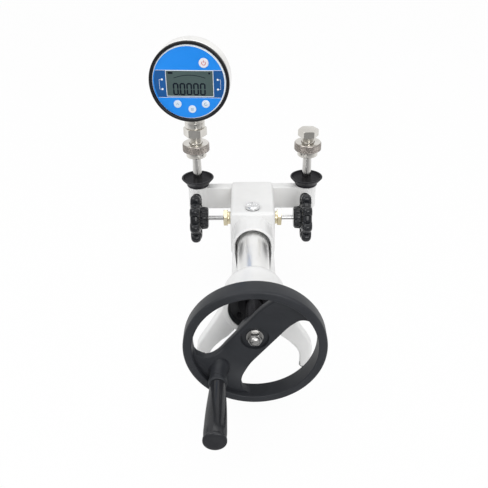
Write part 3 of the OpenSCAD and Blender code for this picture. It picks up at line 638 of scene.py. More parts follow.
def half_width(s, corner):
    """Straight, then cy - sqrt(c^2 - (s - cx)^2), then sqrt(R^2 - s^2) inside the rim."""
    big = np.sqrt(np.clip(WEB_END ** 2 - s ** 2, 0, None))
    if not corner:
        return np.minimum(HALF, big)
    cy = HALF + corner
    cx = math.sqrt((INNER - corner) ** 2 - cy ** 2)
    arc = cy - np.sqrt(np.clip(corner ** 2 - (s - cx) ** 2, 0, None))
    w = np.where(s < cx, HALF, arc)
    w = np.where(s > cx + 0.99 * corner, big, w)
    return np.minimum(w, big)


def dish_front(s, n):
    """Height of the front face: flat at the hub, a smooth step out to the rim, more by the handle."""
    u = np.clip((np.hypot(s, n) - 32.0) / 30.0, 0, 1)
    v = np.clip((-s - 24.0) / 30.0, 0, 1)
    return 295.8 + 7.6 * (u * u * (3 - 2 * u)) + 5.0 * (v * v * (3 - 2 * v))


stations = WEB_END * np.sin(np.linspace(-math.pi / 2, math.pi / 2, 301)) * 0.9995
stations = np.sort(np.concatenate([stations, np.linspace(-20, 20, 120)]))
stations = stations[np.concatenate([[True], np.diff(stations) > 0.02])]
upper_w = np.where(stations < 0, half_width(-stations, 17.0), half_width(stations, 0))
lower_w = np.where(stations < 0, half_width(-stations, 12.0), half_width(stations, 10.0))

crosswise = np.linspace(-1, 1, 121)
quarter = np.linspace(0, math.pi / 2, 7)[1:-1]


def web_grid():
    """Loop of the section at every station: front, right edge, back, left edge."""
    span = (upper_w + lower_w)[:, None] / 2
    middle = (upper_w - lower_w)[:, None] / 2
    ease = np.minimum(ROUND, span)
    flat_n = middle + crosswise[None] * (span - ease)
    s = np.repeat(stations[:, None], len(crosswise), 1)
    r = np.hypot(s, flat_n)
    front = dish_front(s, flat_n)
    well = np.clip((WELL_R - r) / 0.8, 0, 1)
    front_h = front - well * (front - WELL_FLOOR)
    back_h = front - THICK
    boss = np.clip((HUB_R - r) / 2.5, 0, 1)
    back_h = back_h - boss ** 0.5 * (back_h - HUB_BACK)
    edge_r = dish_front(stations[:, None], middle + span)
    edge_l = dish_front(stations[:, None], middle - span)
    c, q = np.cos(quarter)[None], np.sin(quarter)[None]
    right_n = middle + span - ease + ease * q
    left_n = middle - span + ease - ease * q
    right_top = edge_r - ROUND + ROUND * c
    right_low = edge_r - THICK + ROUND - ROUND * c
    left_top = edge_l - ROUND + ROUND * c
    left_low = edge_l - THICK + ROUND - ROUND * c
    n = np.concatenate([flat_n, right_n, right_n[:, ::-1], flat_n[:, ::-1], left_n, left_n[:, ::-1]], 1)
    h = np.concatenate([front_h, right_top, right_low[:, ::-1], back_h[:, ::-1], left_low, left_top[:, ::-1]], 1)
    return np.repeat(stations[:, None], n.shape[1], 1), n, h


s_grid, n_grid, h_grid = web_grid()


def put_on_wheel(name, s, n, h, crease):
    """Turns (s, n) by the band's slope into the wheel's plane and closes the grid."""
    c, q = math.cos(BAND), math.sin(BAND)
    points = barrel_line.point(s * c - n * q, s * q + n * c, h).reshape(-1, 3)
    put_piece(name, points, closed_grid(*s.shape), *wheel, crease=crease)


put_on_wheel("wheel_web", s_grid, n_grid, h_grid, 50)

# %% [markdown]
# A corner circle turns back on itself before it touches the rim, so the width
# of the band alone can't follow it. A small filling closes each of the three
# corners: rows start on the circle and run outwards to inside the rim.

# %% Corner fillings
def corner_fill(name, sign_s, sign_n, corner):
    """Grid from the corner circle out to radius 63.8, on the same dished front."""
    cy = HALF + corner
    cx = math.sqrt((INNER - corner) ** 2 - cy ** 2)
    bend = np.linspace(-0.35, math.atan2(cy, cx), 30)
    arc_s, arc_n = cx + corner * np.cos(bend), cy + corner * np.sin(bend)
    out = 63.8 / np.hypot(arc_s, arc_n)
    outwards = np.array([0, 0.06, 0.14, 0.25, 0.4, 0.6, 0.8, 1.0])
    grow = 1 + (out[:, None] - 1) * outwards
    s, n = arc_s[:, None] * grow * sign_s, arc_n[:, None] * grow * sign_n
    top = dish_front(s, n) - 0.9 * np.clip(1 - outwards / 0.1, 0, 1)
    low = dish_front(s, n) - THICK
    s, n, h = (np.concatenate(pair, 1) for pair in ((s, s[:, ::-1]), (n, n[:, ::-1]), (top, low[:, ::-1])))
    put_on_wheel(name, s, n, h, 40)


corner_fill("corner_upper", -1, 1, 17.0)
corner_fill("corner_lower_left", -1, -1, 12.0)
corner_fill("corner_lower_right", 1, -1, 10.0)

# %% [markdown]
# The handle stands on a cone that grows out of the web with a soft foot. Its
# profile is a hyperbola-like curve, wide where it leaves the web and almost
# straight at the top, so it blends with the dish without a visible seam.

# %% Handle boss, washer and cap nut
t = np.linspace(0, 1, 14)
boss_curve = np.stack([8.7 + 2.4 * (1 - t) ** 3 + 0.3 * (1 - t), 303.0 + 15.0 * t], 1)
turned("handle_boss", np.concatenate([[(0, 299)], [(11.4, 299)], boss_curve, [(8.4, 318.6), (0, 318.6)]]), handle_line,
       *wheel, crease=50)
turned("hub_washer", rounded([(4.05, 292.5), (8.85, 292.5), (8.85, 294), (4.05, 294)], [0, 0.2, 0.35, 0.1],
                             closed=True), barrel_line, *wheel_metal, ("wheel_washer",), ring=True)


def hexagon(half_flat, cap, corner_first=True):
    """Radius = the smaller of flat / cos(angle within 60 degrees) and cap(h)."""
    shift = 0.0 if corner_first else math.pi / 6

    def shape(r, angle, h):
        inside = (angle + shift) % (math.pi / 3) - math.pi / 6
        hex_r = half_flat / np.cos(inside)
        return np.where(r > half_flat * 0.9, np.minimum(hex_r, cap(h)), r)
    return shape


def chamfer_cap(h0, h1, corner, cut):
    """A cone at each end that trims the six corners."""
    def cap(h):
        return corner - cut + np.minimum(1.0, np.minimum(h - h0, h1 - h) / (cut * 0.6)) * cut
    return cap


nut_h = np.array([294.0, 294.25, 294.6, 299.0, 299.3, 299.5])
nut_profile = np.concatenate([[(0, 294.0)], straight(7.5, nut_h), [(5.9, 299.5)],
                              [(5.7 * math.cos(a), 299.6 + 3.9 * math.sin(a)) for a in np.linspace(0.05, 1.5, 9)],
                              [(0, 303.5)]])
turned("cap_nut_dome", nut_profile, barrel_line, *wheel_metal, ("cap_nut",), seg=120,
       shape=hexagon(6.5, chamfer_cap(293.9, 299.6, 7.5, 0.7)), crease=28)

# %% [markdown]
# ## Revolving handle
# The grip turns on a shouldered pin. A plain ring stands between it and the
# boss. The grip is slim there and swells towards the end, where a wide disc
# stops the hand from slipping off. Its profile is a spline through a few
# radii, sampled closely.

# %% Grip and end disc
def smooth_profile(points, count=60):
    """Cubic Hermite through (radius, height) points, slopes from the neighbours."""
    p = np.array(points, float)
    h, r = p[:, 1], p[:, 0]
    slope = np.gradient(r, h)
    x = np.linspace(h[0], h[-1], count)
    k = np.clip(np.searchsorted(h, x, side="right") - 1, 0, len(h) - 2)
    d = h[k + 1] - h[k]
    u = (x - h[k]) / d
    value = ((2 * u ** 3 - 3 * u ** 2 + 1) * r[k] + (u ** 3 - 2 * u ** 2 + u) * d * slope[k]
             + (-2 * u ** 3 + 3 * u ** 2) * r[k + 1] + (u ** 3 - u ** 2) * d * slope[k + 1])
    return np.stack([value, x], 1)


turned("grip_ring", rounded([(4.05, 319.0), (9.1, 319.0), (9.5, 320.0), (9.5, 324.2), (8.6, 326.0), (4.05, 326.0)],
                            [0, 0.4, 0.8, 1.0, 0.8, 0], closed=True), handle_line, satin_black, "satin_black", "handle",
       ring=True, seg=96, crease=45)
grip_curve = smooth_profile([(7.9, 327.2), (8.1, 331), (8.9, 342), (10.0, 358), (10.7, 377), (10.85, 388),
                             (10.5, 392.4)])
turned("grip", np.concatenate([[(4.05, 326.0)], rounded([(6.8, 326.0), (7.7, 326.1), (7.9, 327.2)], [0, .4, 0]),
                               grip_curve[1:], [(10.2, 393.2), (4.05, 393.2)]]), handle_line, gloss_black,
       "gloss_black", "handle", ("handle_sleeve",), ring=True, seg=96, crease=45)
end_edge = rounded([(10.0, 393.2), (11.2, 393.3), (11.2, 396.2), (9.8, 397.0)], [0, 0.5, 1.2, 0.8])
turned("grip_end", np.concatenate([[(0, 393.2)], end_edge, [(6.0, 396.9), (3.0, 396.6), (0, 396.5)]]), handle_line,
       gloss_black, "gloss_black", "handle", ("handle_cap",), seg=96, crease=45)

# %% [markdown]
# ## Outlet posts
# Each post is a slim tapered tube with a ring and a knurled nut at its head.
# The knurl is cut into the surface itself: two families of grooves wind
# opposite ways round the nut, and the radius drops where either one passes.

# %% Posts, rings and drip cups
post_profile = rounded([(0, 96), (6.5, 96), (6.5, 112), (5.7, 150), (5.7, 162.3), (9, 162.3), (9, 166.4), (0, 166.4)],
                       [0, 0, 0, 0, 0, 0.3, 0.5, 0])
ring_profile = rounded([(5.9, 154), (13.65, 154), (13.65, 162), (5.9, 162)], [0.3, 1.1, 0.5, 0.3], closed=True)
cup_profile = np.concatenate([
    rounded([(6.5, 110), (14.2, 110), (15.2, 111), (15.2, 113)], [0, 0.8, 0.5, 0]),
    smooth_profile([(15.2, 113.4), (16.6, 115), (19.6, 118.6), (21.6, 121)], 10),
    rounded([(22.1, 121.6), (22.0, 122.3), (20.9, 122.4)], [0, 0.3, 0]),
    smooth_profile([(20.9, 122.4), (19.9, 121), (17.2, 117.8), (13.6, 114.2)], 10),
    rounded([(12.6, 113.2), (9.0, 112.6), (7.6, 113.4), (6.6, 113.4)], [0.6, 0.8, 0.4, 0])])
for place, tag, letter in posts:
    turned("post_" + tag, post_profile, place, post_steel, "steel", "body", ("post_" + letter,), seg=72)
    turned("post_ring_" + tag, ring_profile, place, nickel, "steel", "swivel_" + letter, ("post_ring_" + letter,),
           ring=True, seg=96)
    turned("drip_cup_" + tag, cup_profile, place, black_rubber, "black_rubber", "body", ("drip_cup_" + letter,),
           ring=True, seg=96, crease=50)


# %% Knurled nuts
def knurl(count, lean, depth, low, high, outer):
    """Cuts a groove wherever |sin(N t/2 + k h)| or |sin(N t/2 - k h)| is near zero, so diamonds are left."""
    def shape(r, angle, h):
        a = np.abs(np.sin(0.5 * count * angle + lean * h))
        b = np.abs(np.sin(0.5 * count * angle - lean * h))
        groove = 1 - np.clip(np.minimum(a, b) * 1.7, 0, 1)
        inside = np.clip((h - low) / 0.5, 0, 1) * np.clip((high - h) / 0.5, 0, 1)
        return np.where(np.abs(r - outer) < 1e-6, r - depth * groove * inside, r)
    return shape


side_h = np.arange(163.0, 171.61, 0.14)
knurled_profile = np.concatenate([
    [(8.3, 162.05), (17.0, 162.05), (17.6, 162.5)], straight(18.0, side_h),
    rounded([(17.7, 172.0), (17.2, 172.9), (15.2, 173), (9.2, 173), (8.3, 172.4)], [0, 0.3, 0.4, 0.3, 0])])
for place, tag, letter in posts:
    turned("knurled_nut_" + tag, knurled_profile, place, knurl_steel, "steel", "swivel_" + letter,
           ("swivel_nut_" + letter,), ring=True, seg=560, shape=knurl(70, 2.0, 0.42, 163.0, 171.6, 18.0), crease=60)
    turned("nut_top_" + tag, rounded([(9.4, 172.8), (16.9, 172.8), (16.9, 173.15), (9.4, 173.15)], [0, 0, 0.25, 0.2],
                                     closed=True), place, nickel, "steel", "swivel_" + letter, ring=True, seg=128)

# %% [markdown]
# The gauge stem is one turned piece: a thread that shows above the knurled
# nut, a hexagon for the spanner and a round neck. The right post is closed
# with a hexagon plug of the same make. Both hexagons come from one radial
# rule: the flat's distance over the cosine of the angle to its middle,
# limited by a cone that trims the corners.

# %% Gauge stem and hexagon plug
def stack_shape(*rules):
    """Applies one rule after another where the height lies in its own span."""
    def shape(r, angle, h):
        for low, high, rule in rules:
            r = np.where((h >= low) & (h <= high), rule(r, angle, h), r)
        return r
    return shape


def hex_rows(h0, h1, corner, cut):
    """Close rows at the trimmed ends, so that the curve of each trim is smooth."""
    h = np.concatenate([h0 + cut * 0.6 * np.linspace(0, 1, 7), h1 - cut * 0.6 * np.linspace(1, 0, 7)])
    return straight(corner, h)


def screwed_in(name, post, body, node, coil_top, neck, low, high, flat, corner, head):
    """Thread, neck, hexagon from low to high, and what stands on top of it."""
    coils = np.arange(173.4, coil_top, 0.12)
    profile = np.concatenate([[(0, 168.6), (8.2, 168.6)], straight(8.2, coils), neck, hex_rows(low, high, corner, 0.9),
                              head])
    turned(name, profile, post, nickel, "steel", body, (node,), seg=144, crease=30,
           shape=stack_shape((173.4, coil_top, thread(8.2, 0.8, 1.5, 173.4, coil_top)),
                             (low - 0.01, high + 0.01, hexagon(flat, chamfer_cap(low, high, corner, 0.9)))))


stem_neck = rounded([(12.2, 195.0), (12.2, 195.9), (13.2, 196.3), (13.2, 203.2), (12.9, 203.5), (12.9, 204.3),
                     (13.2, 204.6), (13.2, 211.6)], [0, 0.3, 0.3, 0.1, 0.1, 0.1, 0.1, 0])
screwed_in("gauge_stem_turned", left_post, "gauge", "gauge_stem", 183.6, [(7.2, 183.8), (11.5, 184.0)], 184.0, 195.0,
           13.47, 15.55, np.concatenate([stem_neck, [(0, 211.6)]]))
screwed_in("plug_turned", right_post, "plug", "hex_plug", 181.2, [(7.2, 181.3), (10.2, 181.5)], 181.5, 190.4,
           11.86, 13.7, [(11.6, 190.5), (0, 190.5)])

# %% [markdown]
# ## Valves
# Each valve is a brass gland in the side of the block, a steel stem and a
# black knob with eight round lobes. The knob's outline is a union of circles
# written in polar form: a circle of radius a at distance c reaches
# c cos(t) + sqrt(a^2 - c^2 sin^2(t)), and a soft maximum joins it to the
# round core. Rows of the grid go from the middle of the outer face, over the
# lobes, to the ribbed hub, and each row blends between a circle and lobes.

# %% Valve knobs
SEG = 320
LOBE_R, LOBE_AT, CORE_R = 6.32, 27.68, 26.6   # circle of a lobe, its distance from the axis, and the round core
angles = np.linspace(0, TAU, SEG, endpoint=False)
lobe_angle = (angles + TAU / 16) % (TAU / 8) - TAU / 16
off_line = LOBE_AT * np.sin(lobe_angle)
lobe_reach = LOBE_AT * np.cos(lobe_angle) + np.sqrt(np.clip(LOBE_R ** 2 - off_line ** 2, 0, None))
lobe_reach = np.where(np.abs(off_line) < LOBE_R, lobe_reach, 0)
lobed = (lobe_reach ** 26 + CORE_R ** 26) ** (1 / 26.0)


def knob(name, stand, lift, body, stands_for):
    """Rows of (lobe share, radius of the circle part, height); radius = mix of circle and lobed outline."""
    x0, x1, x2 = 54.9 + lift, 64.4 + lift, 77.9 + lift
    a = np.linspace(0, math.pi / 2, 8)
    rows = [(0, 3.05, x1 + 6.0), (0, 3.05, x0), (0, 12.4, x0), (0, 13.4, x0 + 0.9)]
    rib_rows = [(0, 13.6, x0 + 1.6), (0, 14.0, x0 + 4.5), (0, 14.4, x0 + 8.4)]
    rows += rib_rows + [(0, 14.8, x1 - 0.2), (0, 16.2, x1 + 0.8), (0, 19.5, x1 + 2.4), (0.5, 21.6, x1 + 2.0)]
    rows += [(1, -6.0 * (1 - math.sin(v)), x1 + 6.0 * (1 - math.cos(v)) + 0.2) for v in a]
    rows += [(1, -6.0 * (1 - math.cos(v)), x2 - 6.0 + 6.0 * math.sin(v)) for v in a]
    rows += [(0.5, 21.2, x2 - 0.2), (0, 18.8, x2 - 1.6), (0, 15.6, x2 - 3.4), (0, 12.8, x2 - 3.7), (0, 11.6, x2 - 2.8),
             (0, 11.0, x2 - 2.2), (0, 6.6, x2 - 2.0), (0, 5.9, x2 - 2.4), (0, 5.6, x2 - 3.4), (0, 0.6, x2 - 3.4)]
    pts = []
    for share, r, h in rows:
        circle = np.full(SEG, r if share < 1 else 0.0)
        outline = lobed + (r if share == 1 else -9.0)
        radius = outline if share == 1 else (1 - share) * circle + share * outline
        if (share, r, h) in rib_rows:
            radius = radius + 0.75 * np.clip(np.cos(12 * angles) * 1.6, -1, 1)
        pts.append(stand.point(radius * np.cos(angles), radius * np.sin(angles), h))
    put_piece(name, np.concatenate(pts), closed_grid(len(rows), SEG), knob_black, "gloss_black", body, stands_for,
              crease=48)


for place, tag, lift in valves:
    knob("valve_knob_" + tag, place, lift, "valve_" + tag, ("valve_wheel_" + tag[0],))
for place, tag, lift in valves:
    end = 77.9 + lift
    turned("knob_screw_" + tag, rounded([(0, end - 3.3), (4.2, end - 3.3), (4.2, end - 1.6), (2.4, end - 1.2),
                                         (2.2, end - 2.2), (0, end - 2.2)], [0, 0, 0.7, 0.3, 0.2, 0]), place,
           cross_steel, "steel", "valve_" + tag, seg=48)

# %% Brass glands
gland_profile = np.concatenate([
    [(3.05, 17.2), (6.9, 17.2), (6.9, 28.7), (8.3, 28.75), (8.5, 29.1), (8.5, 32.9), (8.0, 33.3)],
    hex_rows(33.3, 38.5, 12.0, 1.2), [(7.4, 38.5), (7.0, 38.9), (3.6, 38.9), (3.05, 38.4)]])
for place, tag, lift in valves:
    turned("gland_" + tag, gland_profile, place, brass, "brass", "body", ("gland_" + tag[0],), ring=True, seg=144,
           shape=stack_shape((33.29, 38.51, hexagon(10.39, chamfer_cap(33.3, 38.5, 12.0, 1.2), False))), crease=30)

# %% [markdown]
# ## Filler plug
# The plug in the top of the block is a low chromed disc with a chamfer and a
# cross of two slots. The slots are cut by lowering the rows near the top
# where the point lies within a slot's half width, so the cut is real.

# %% Filler plug
def slotted_disc():
    """Height field over a disc: top 116.6, lowered by 1.3 where |x| or |y| < 1.1 inside radius 7."""
    cols = 200
    radii = np.concatenate([np.linspace(0.05, 8.2, 60), [8.6, 9.0, 9.3, 9.4]])
    r, angle = np.meshgrid(radii, np.linspace(0, TAU, cols, endpoint=False), indexing="ij")
    h = np.where(r < 8.3, 116.6, 116.6 - (r - 8.2) * 0.45)
    near = np.minimum(np.abs(r * np.cos(angle)), np.abs(r * np.sin(angle)))
    h = h - 1.3 * np.clip((1.3 - near) / 0.3, 0, 1) * np.clip((7.4 - r) / 0.3, 0, 1)
    below = np.array([(9.4, 115.6), (9.4, 113.0), (7.0, 113.0), (7.0, 105.0)])
    r = np.concatenate([r, np.repeat(below[:, :1], cols, 1)])
    h = np.concatenate([h, np.repeat(below[:, 1:], cols, 1)])
    angle = np.concatenate([angle, np.repeat(angle[:1], len(below), 0)])
    return upright(0, -73).point(r * np.cos(angle), r * np.sin(angle), h).reshape(-1, 3), closed_grid(*r.shape)


put_piece("filler_disc", *slotted_disc(), chrome, "chrome", "filler", ("filler_plug",), crease=30)

# %% [markdown]
# ## Gauge
# The gauge is a round steel case with a black front ring. Behind the ring
# lies a printed blue plate with a display window and four round keys. All of
# it is drawn in the gauge's own frame, with a to the right, b up and h
# towards the eye, measured from the axis of its post.

# %% Case, back cover and front ring
case_profile = rounded([(49.3, 21.8), (50, 21.2), (50, -1.2), (47.6, -2.2), (39.3, -2.2), (39.3, 0.8), (47, 0.8),
                        (47, 21.8)], [0.3, 0.5, 1.6, 1.0, 0.2, 0, 0, 0.2], closed=True)
turned("case_shell", case_profile, gauge_stand, case_steel, "case_steel", "gauge", ("gauge_case",), ring=True, seg=160,
       crease=35)
turned("case_socket", rounded([(0, 211.6), (13.2, 211.6), (13.2, 220.0), (0, 220.0)], [0, 0.3, 1.0, 0]), left_post,
       case_steel, "case_steel", "gauge", seg=96)
turned("back_cover", rounded([(0, -2.3), (38.9, -2.3), (36.4, -13.2), (0, -13.2)], [0, 0.6, 2.4, 0], steps=7),
       gauge_stand, back_black_and_shade, "satin_black", "gauge", ("gauge_back",), seg=128)
ring_section = rounded([(45.7, 21.9), (49.6, 21.9), (50.0, 23.2), (50.0, 27.0), (49.2, 27.8), (47.1, 27.8),
                        (46.1, 26.8), (45.7, 24.6)], [0.1, 0.3, 0.6, 0.5, 0.4, 0.6, 0.5, 0.3], closed=True)
turned("front_ring", ring_section, gauge_stand, bezel_black, "gloss_black", "gauge", ("gauge_bezel",), ring=True,
       seg=200, crease=45)

# %% [markdown]
# The plate is a thin disc. Everything printed on it is a very thin raised
# sheet, a few hundredths of a millimetre apart in height, so the print is
# real geometry and keeps its place when the gauge turns. A sheet is an
# outline carried through two heights.

# %% Printed sheets
def sheet_on_face(name, outline, low, high, ink, slot):
    """A thin closed prism between heights low and high."""
    carried(name, outline, [(0, low), (0, high)], gauge_stand, ink, slot, "gauge")


def plate(x0, x1, y0, y1):
    return [(x0, y0), (x1, y0), (x1, y1), (x0, y1)]


def ring_points(x, y, r, n, start=0.0, stop=TAU, end=False):
    a = np.linspace(start, stop, n, endpoint=end)
    return np.stack([x + r * np.cos(a), y + r * np.sin(a)], 1)


def stroke(points, width):
    """Outline of a thick open line: the points offset by half the width to both sides."""
    p = np.array(points, float)
    tangent = np.gradient(p, axis=0)
    tangent /= np.linalg.norm(tangent, axis=1, keepdims=True)
    normal = np.stack([-tangent[:, 1], tangent[:, 0]], 1) * width / 2
    return np.concatenate([p + normal, (p - normal)[::-1]])


def band_outline(radius, low, high, n=40):
    """Part of a disc between two horizontal lines."""
    a0, a1 = math.asin(low / radius), math.asin(high / radius)
    a = np.linspace(a0, a1, n)
    right_arc = np.stack([radius * np.cos(a), radius * np.sin(a)], 1)
    return np.concatenate([right_arc, right_arc[::-1] * [-1, 1]])


LCD_X, LCD_Y, LCD_W, LCD_H = 0.7, -1.4, 57.8, 31.4   # display: middle, width and height
BAND_LOW, BAND_HIGH = -19.0, 14.9                    # the dark band's edges
ON_BAND, ON_DISPLAY = (25.45, 25.50), (25.55, 25.60)  # low and high face of each layer of print
white_print, dark_print = (line_white, "case_steel"), (segment_ink, "gloss_black")
turned("face_plate", [(0, 23.45), (45.6, 23.45), (45.6, 25.36), (0, 25.36)], gauge_stand, line_white, "blue_face",
       "gauge", ("gauge_face",), seg=160)
# The blue print sits a little down and left of the plate's middle, so a thin white crescent of the plate shows at the
# upper right: a painted highlight for a bright lip inside the front ring.
sheet_on_face("face_print", ring_points(-0.80, -0.75, 44.4, 160), 25.36, 25.40, face_blue, "blue_face")
sheet_on_face("face_band", band_outline(43.6, BAND_LOW, BAND_HIGH), 25.41, 25.44, band_blue, "blue_face")
for name, level in (("band_line_upper", BAND_HIGH), ("band_line_lower", BAND_LOW)):
    reach = math.sqrt(43.4 ** 2 - level ** 2)
    sheet_on_face(name, plate(-reach, reach, level - 0.22, level + 0.22), 25.45, 25.48, *white_print)

# %% [markdown]
# The display sits in a white printed frame. Its five digits are the usual
# seven-segment ones, all reading zero, with a point after the first. Each
# segment is a bar with pointed ends. Above them a thin arc stands for the
# bar graph, with a battery mark on the left and a dot on the right.

# %% Display
def display_box(margin, corner):
    """The display's outline, larger on every side by the margin."""
    return box_outline(LCD_X - LCD_W / 2 - margin, LCD_X + LCD_W / 2 + margin, LCD_Y - LCD_H / 2 - margin,
                       LCD_Y + LCD_H / 2 + margin, corner)


sheet_on_face("display_frame", display_box(0.6, 0.8), *ON_BAND, *white_print)
sheet_on_face("display_panel", display_box(-0.1, 0.5), 25.50, 25.55, display_grey, "lcd_grey")


def segment(x0, y0, x1, y1, width):
    """A bar from one point to another with pointed ends."""
    d = np.array([x1 - x0, y1 - y0], float)
    d /= np.linalg.norm(d)
    n = np.array([-d[1], d[0]]) * width / 2
    a, b = np.array([x0, y0]), np.array([x1, y1])
    k = d * width / 2
    return np.array([a, a + k - n, b - k - n, b, b - k + n, a + k + n])


DIGIT_W, DIGIT_H, PITCH = 5.2, 13.6, 8.4
FIRST_X, LOW_Y = -19.6, -15.2
bar_count = 0
for digit in range(5):
    x0 = FIRST_X + digit * PITCH
    x1, y0, ym, y1 = x0 + DIGIT_W, LOW_Y, LOW_Y + DIGIT_H / 2, LOW_Y + DIGIT_H
    bars = [(x0, y1, x1, y1), (x0, y0, x1, y0), (x0, ym, x0, y1), (x1, ym, x1, y1), (x0, y0, x0, ym), (x1, y0, x1, ym)]
    for bar in bars:
        bar_count += 1
        sheet_on_face("digit_%02d" % bar_count, segment(*bar, 1.9), *ON_DISPLAY, *dark_print)
bow = np.linspace(-1, 1, 40)
for name, outline in (
        ("digit_point", ring_points(FIRST_X + DIGIT_W + 1.6, LOW_Y - 0.2, 0.85, 24)),
        ("bar_graph_arc", stroke(np.stack([LCD_X + 19.5 * bow, 9.0 - 3.6 * bow ** 2], 1), 0.7)),
        ("battery_mark", box_outline(LCD_X - 26.5, LCD_X - 20.5, 10.4, 12.8, 0.4)),
        ("run_dot", ring_points(LCD_X + 24.6, 11.3, 1.25, 32))):
    sheet_on_face(name, outline, *ON_DISPLAY, *dark_print)
for name, x, ys in (("hint_left", -33.6, (3.4, -8.6)), ("hint_right", 35.4, (3.6, -8.4))):
    way = -1 if x < 0 else 1
    for k, y in enumerate(ys):
        sheet_on_face("%s_dot_%d" % (name, k), ring_points(x, y, 1.25, 32), *ON_BAND, *white_print)
    near_x, far_x = x + way * 1.6, x + way * 3.4
    bracket = np.array([(near_x, ys[0]), (far_x, ys[0]), (far_x, ys[1]), (near_x, ys[1])])
    for k, (a, b) in enumerate(zip(bracket, bracket[1:])):
        sheet_on_face("%s_line_%d" % (name, k), stroke([a, (a + b) / 2, b], 0.35), *ON_BAND, *white_print)

# %% [markdown]
# The keys are low domes. Each carries a plain mark: a ring with a stroke for
# power, and short lines on the other three. The marks ride with their key,
# so they go in with it when it is pressed.

# %% Keys
def key(name, x, y, r, body, cap_finish, slot, node):
    """A domed disc at (x, y) on the face; gives back the place that its marks stand in."""
    place = Stand(gauge_stand.point(x, y, 0), *gauge_stand.axes)
    top_h = 26.4
    dome = [(r - 0.5, top_h - 0.25), (r * 0.8, top_h - 0.12), (r * 0.5, top_h - 0.04), (0, top_h)]
    turned(name, np.concatenate([[(0, 22.5), (r + 0.9, 22.5), (r + 0.9, 23.3), (r, 23.35), (r, top_h - 0.6)], dome]),
           place, cap_finish, slot, body, (node,), seg=64, crease=50)
    return place


def open_ring(y, r, n, start, stop):
    """Points of a ring with a gap, between two angles in degrees."""
    return ring_points(0, y, r, n, math.radians(start), math.radians(stop), True)


pale_key = (4.9, key_pale, "key_pale")
key_table = (
    ("key_power", 19.0, 24.0, "key_power", "power_key", (5.9, key_white, "key_white"), key_red,
     [("power_ring", stroke(open_ring(-0.2, 2.3, 40, 125, 415), 0.75)),
      ("power_stroke", plate(-0.35, 0.35, 0.4, 3.1))]),
    ("key_left", -16.0, -27.2, "key_a", "menu_key_a", pale_key, key_line,
     [("mark_left", stroke([(-1.7, -0.9), (0, 1.0), (1.7, -0.9)], 0.6))]),
    ("key_middle", 2.2, -33.6, "key_b", "menu_key_b", pale_key, key_line,
     [("mark_middle_%d" % k, plate(-1.8, 1.8, level - 0.25, level + 0.25))
      for k, level in enumerate((-1.2, 0.0, 1.2))]),
    ("key_right", 19.5, -26.8, "key_c", "menu_key_c", pale_key, key_line,
     [("mark_right", stroke(open_ring(0, 1.7, 30, 60, 360), 0.6))]))
places = [key(name, x, y, kind[0], body, *kind[1:], node) for name, x, y, body, node, kind, ink, marks in key_table]
for place, (name, x, y, body, node, kind, ink, marks) in zip(places, key_table):
    for mark, outline in marks:
        carried(mark, outline, [(0, 26.28), (0, 26.46)], place, ink, "gloss_black", body)

# %% [markdown]
# ## Floor and light
# The floor and the backdrop are one pale sweep. The camera sees it as almost
# white. The metal parts see it darker towards the operator, which gives them
# a dark side, and the light on the pump stays at a plain level. Two large
# soft lamps from the left and above give the long highlights on the rim and
# the barrel, and a third fills from the front, low and a little to the right.

# %% Floor
def sweep(bend_rows=16):
    """Flat floor that curves up into a wall with radius 0.9: a profile carried along X."""
    bend = np.linspace(0, math.pi / 2, bend_rows)[1:]
    y = np.concatenate([np.linspace(-2.6, 1.6, 8), 1.6 + 0.9 * np.sin(bend), [2.5, 2.5]])
    z = np.concatenate([np.zeros(8), 0.9 - 0.9 * np.cos(bend), [2.0, 4.0]]) - 0.0002
    points = [(x, b, c) for b, c in zip(y, z) for x in (-3.5, 3.5)]
    return points, [f[::-1] for f in grid_faces(len(y), 2, wrap_cols=False).tolist()]


floor_points, floor_faces = sweep()
floor_mesh = bpy.data.meshes.new("floor_sweep")
floor_mesh.from_pydata(floor_points, [], floor_faces)
floor_mesh.polygons.foreach_set("use_smooth", np.ones(len(floor_mesh.polygons), bool))

# %% [markdown]
# A light path node tells which kind of ray has arrived. The kinds never
# overlap, so a sum of weights, one for each kind, can steer a mix. Kinds that
# aren't named get nothing, and they are the ones that carry the plain light.

# %% Paper of the floor
RAYS = ("Is Camera Ray", "Is Glossy Ray", "Is Transmission Ray")
WHITE = (1, 1, 1, 1)


def weighted(tree, ray, weights):
    """w1 * a + w2 * b + w3 * c for the three kinds of ray."""
    total = None
    for kind, weight in zip(RAYS, weights):
        part = add_node(tree, "Math", {1: weight, 2: 0.0})
        part.operation = "MULTIPLY_ADD"
        tree.links.new(ray.outputs[kind], part.inputs[0])
        if total is not None:
            tree.links.new(total, part.inputs[2])
        total = part.outputs[0]
    return total


floor_paper = bpy.data.materials.new("floor_paper")
floor_paper.use_nodes = True
tree, link = floor_paper.node_tree, floor_paper.node_tree.links.new
paper = tree.nodes["Principled BSDF"]
paper.inputs["Base Color"].default_value = (0.86, 0.86, 0.86, 1)
paper.inputs["Roughness"].default_value = 0.9
glow = add_node(tree, "Emission", {"Color": WHITE, "Strength": 1.0})
mixed = add_node(tree, "MixShader")
ray = add_node(tree, "LightPath")
link(weighted(tree, ray, (0.96, 0.92, 0.92)), mixed.inputs[0])
where = add_node(tree, "TexCoord")
apart = add_node(tree, "SeparateXYZ")
link(where.outputs["Object"], apart.inputs[0])
shade = add_node(tree, "MapRange", {"From Min": -0.42, "From Max": 0.02, "To Min": 0.32, "To Max": 1.0})
link(apart.outputs["Y"], shade.inputs["Value"])
darker = tree.nodes.new("ShaderNodeMix")
darker.data_type = "RGBA"
darker.inputs["A"].default_value = WHITE
link(ray.outputs["Is Glossy Ray"], darker.inputs["Factor"])
link(shade.outputs["Result"], darker.inputs["B"])
link(darker.outputs["Result"], glow.inputs["Color"])
link(paper.outputs[0], mixed.inputs[1])
link(glow.outputs[0], mixed.inputs[2])
link(mixed.outputs[0], tree.nodes["Material Output"].inputs["Surface"])
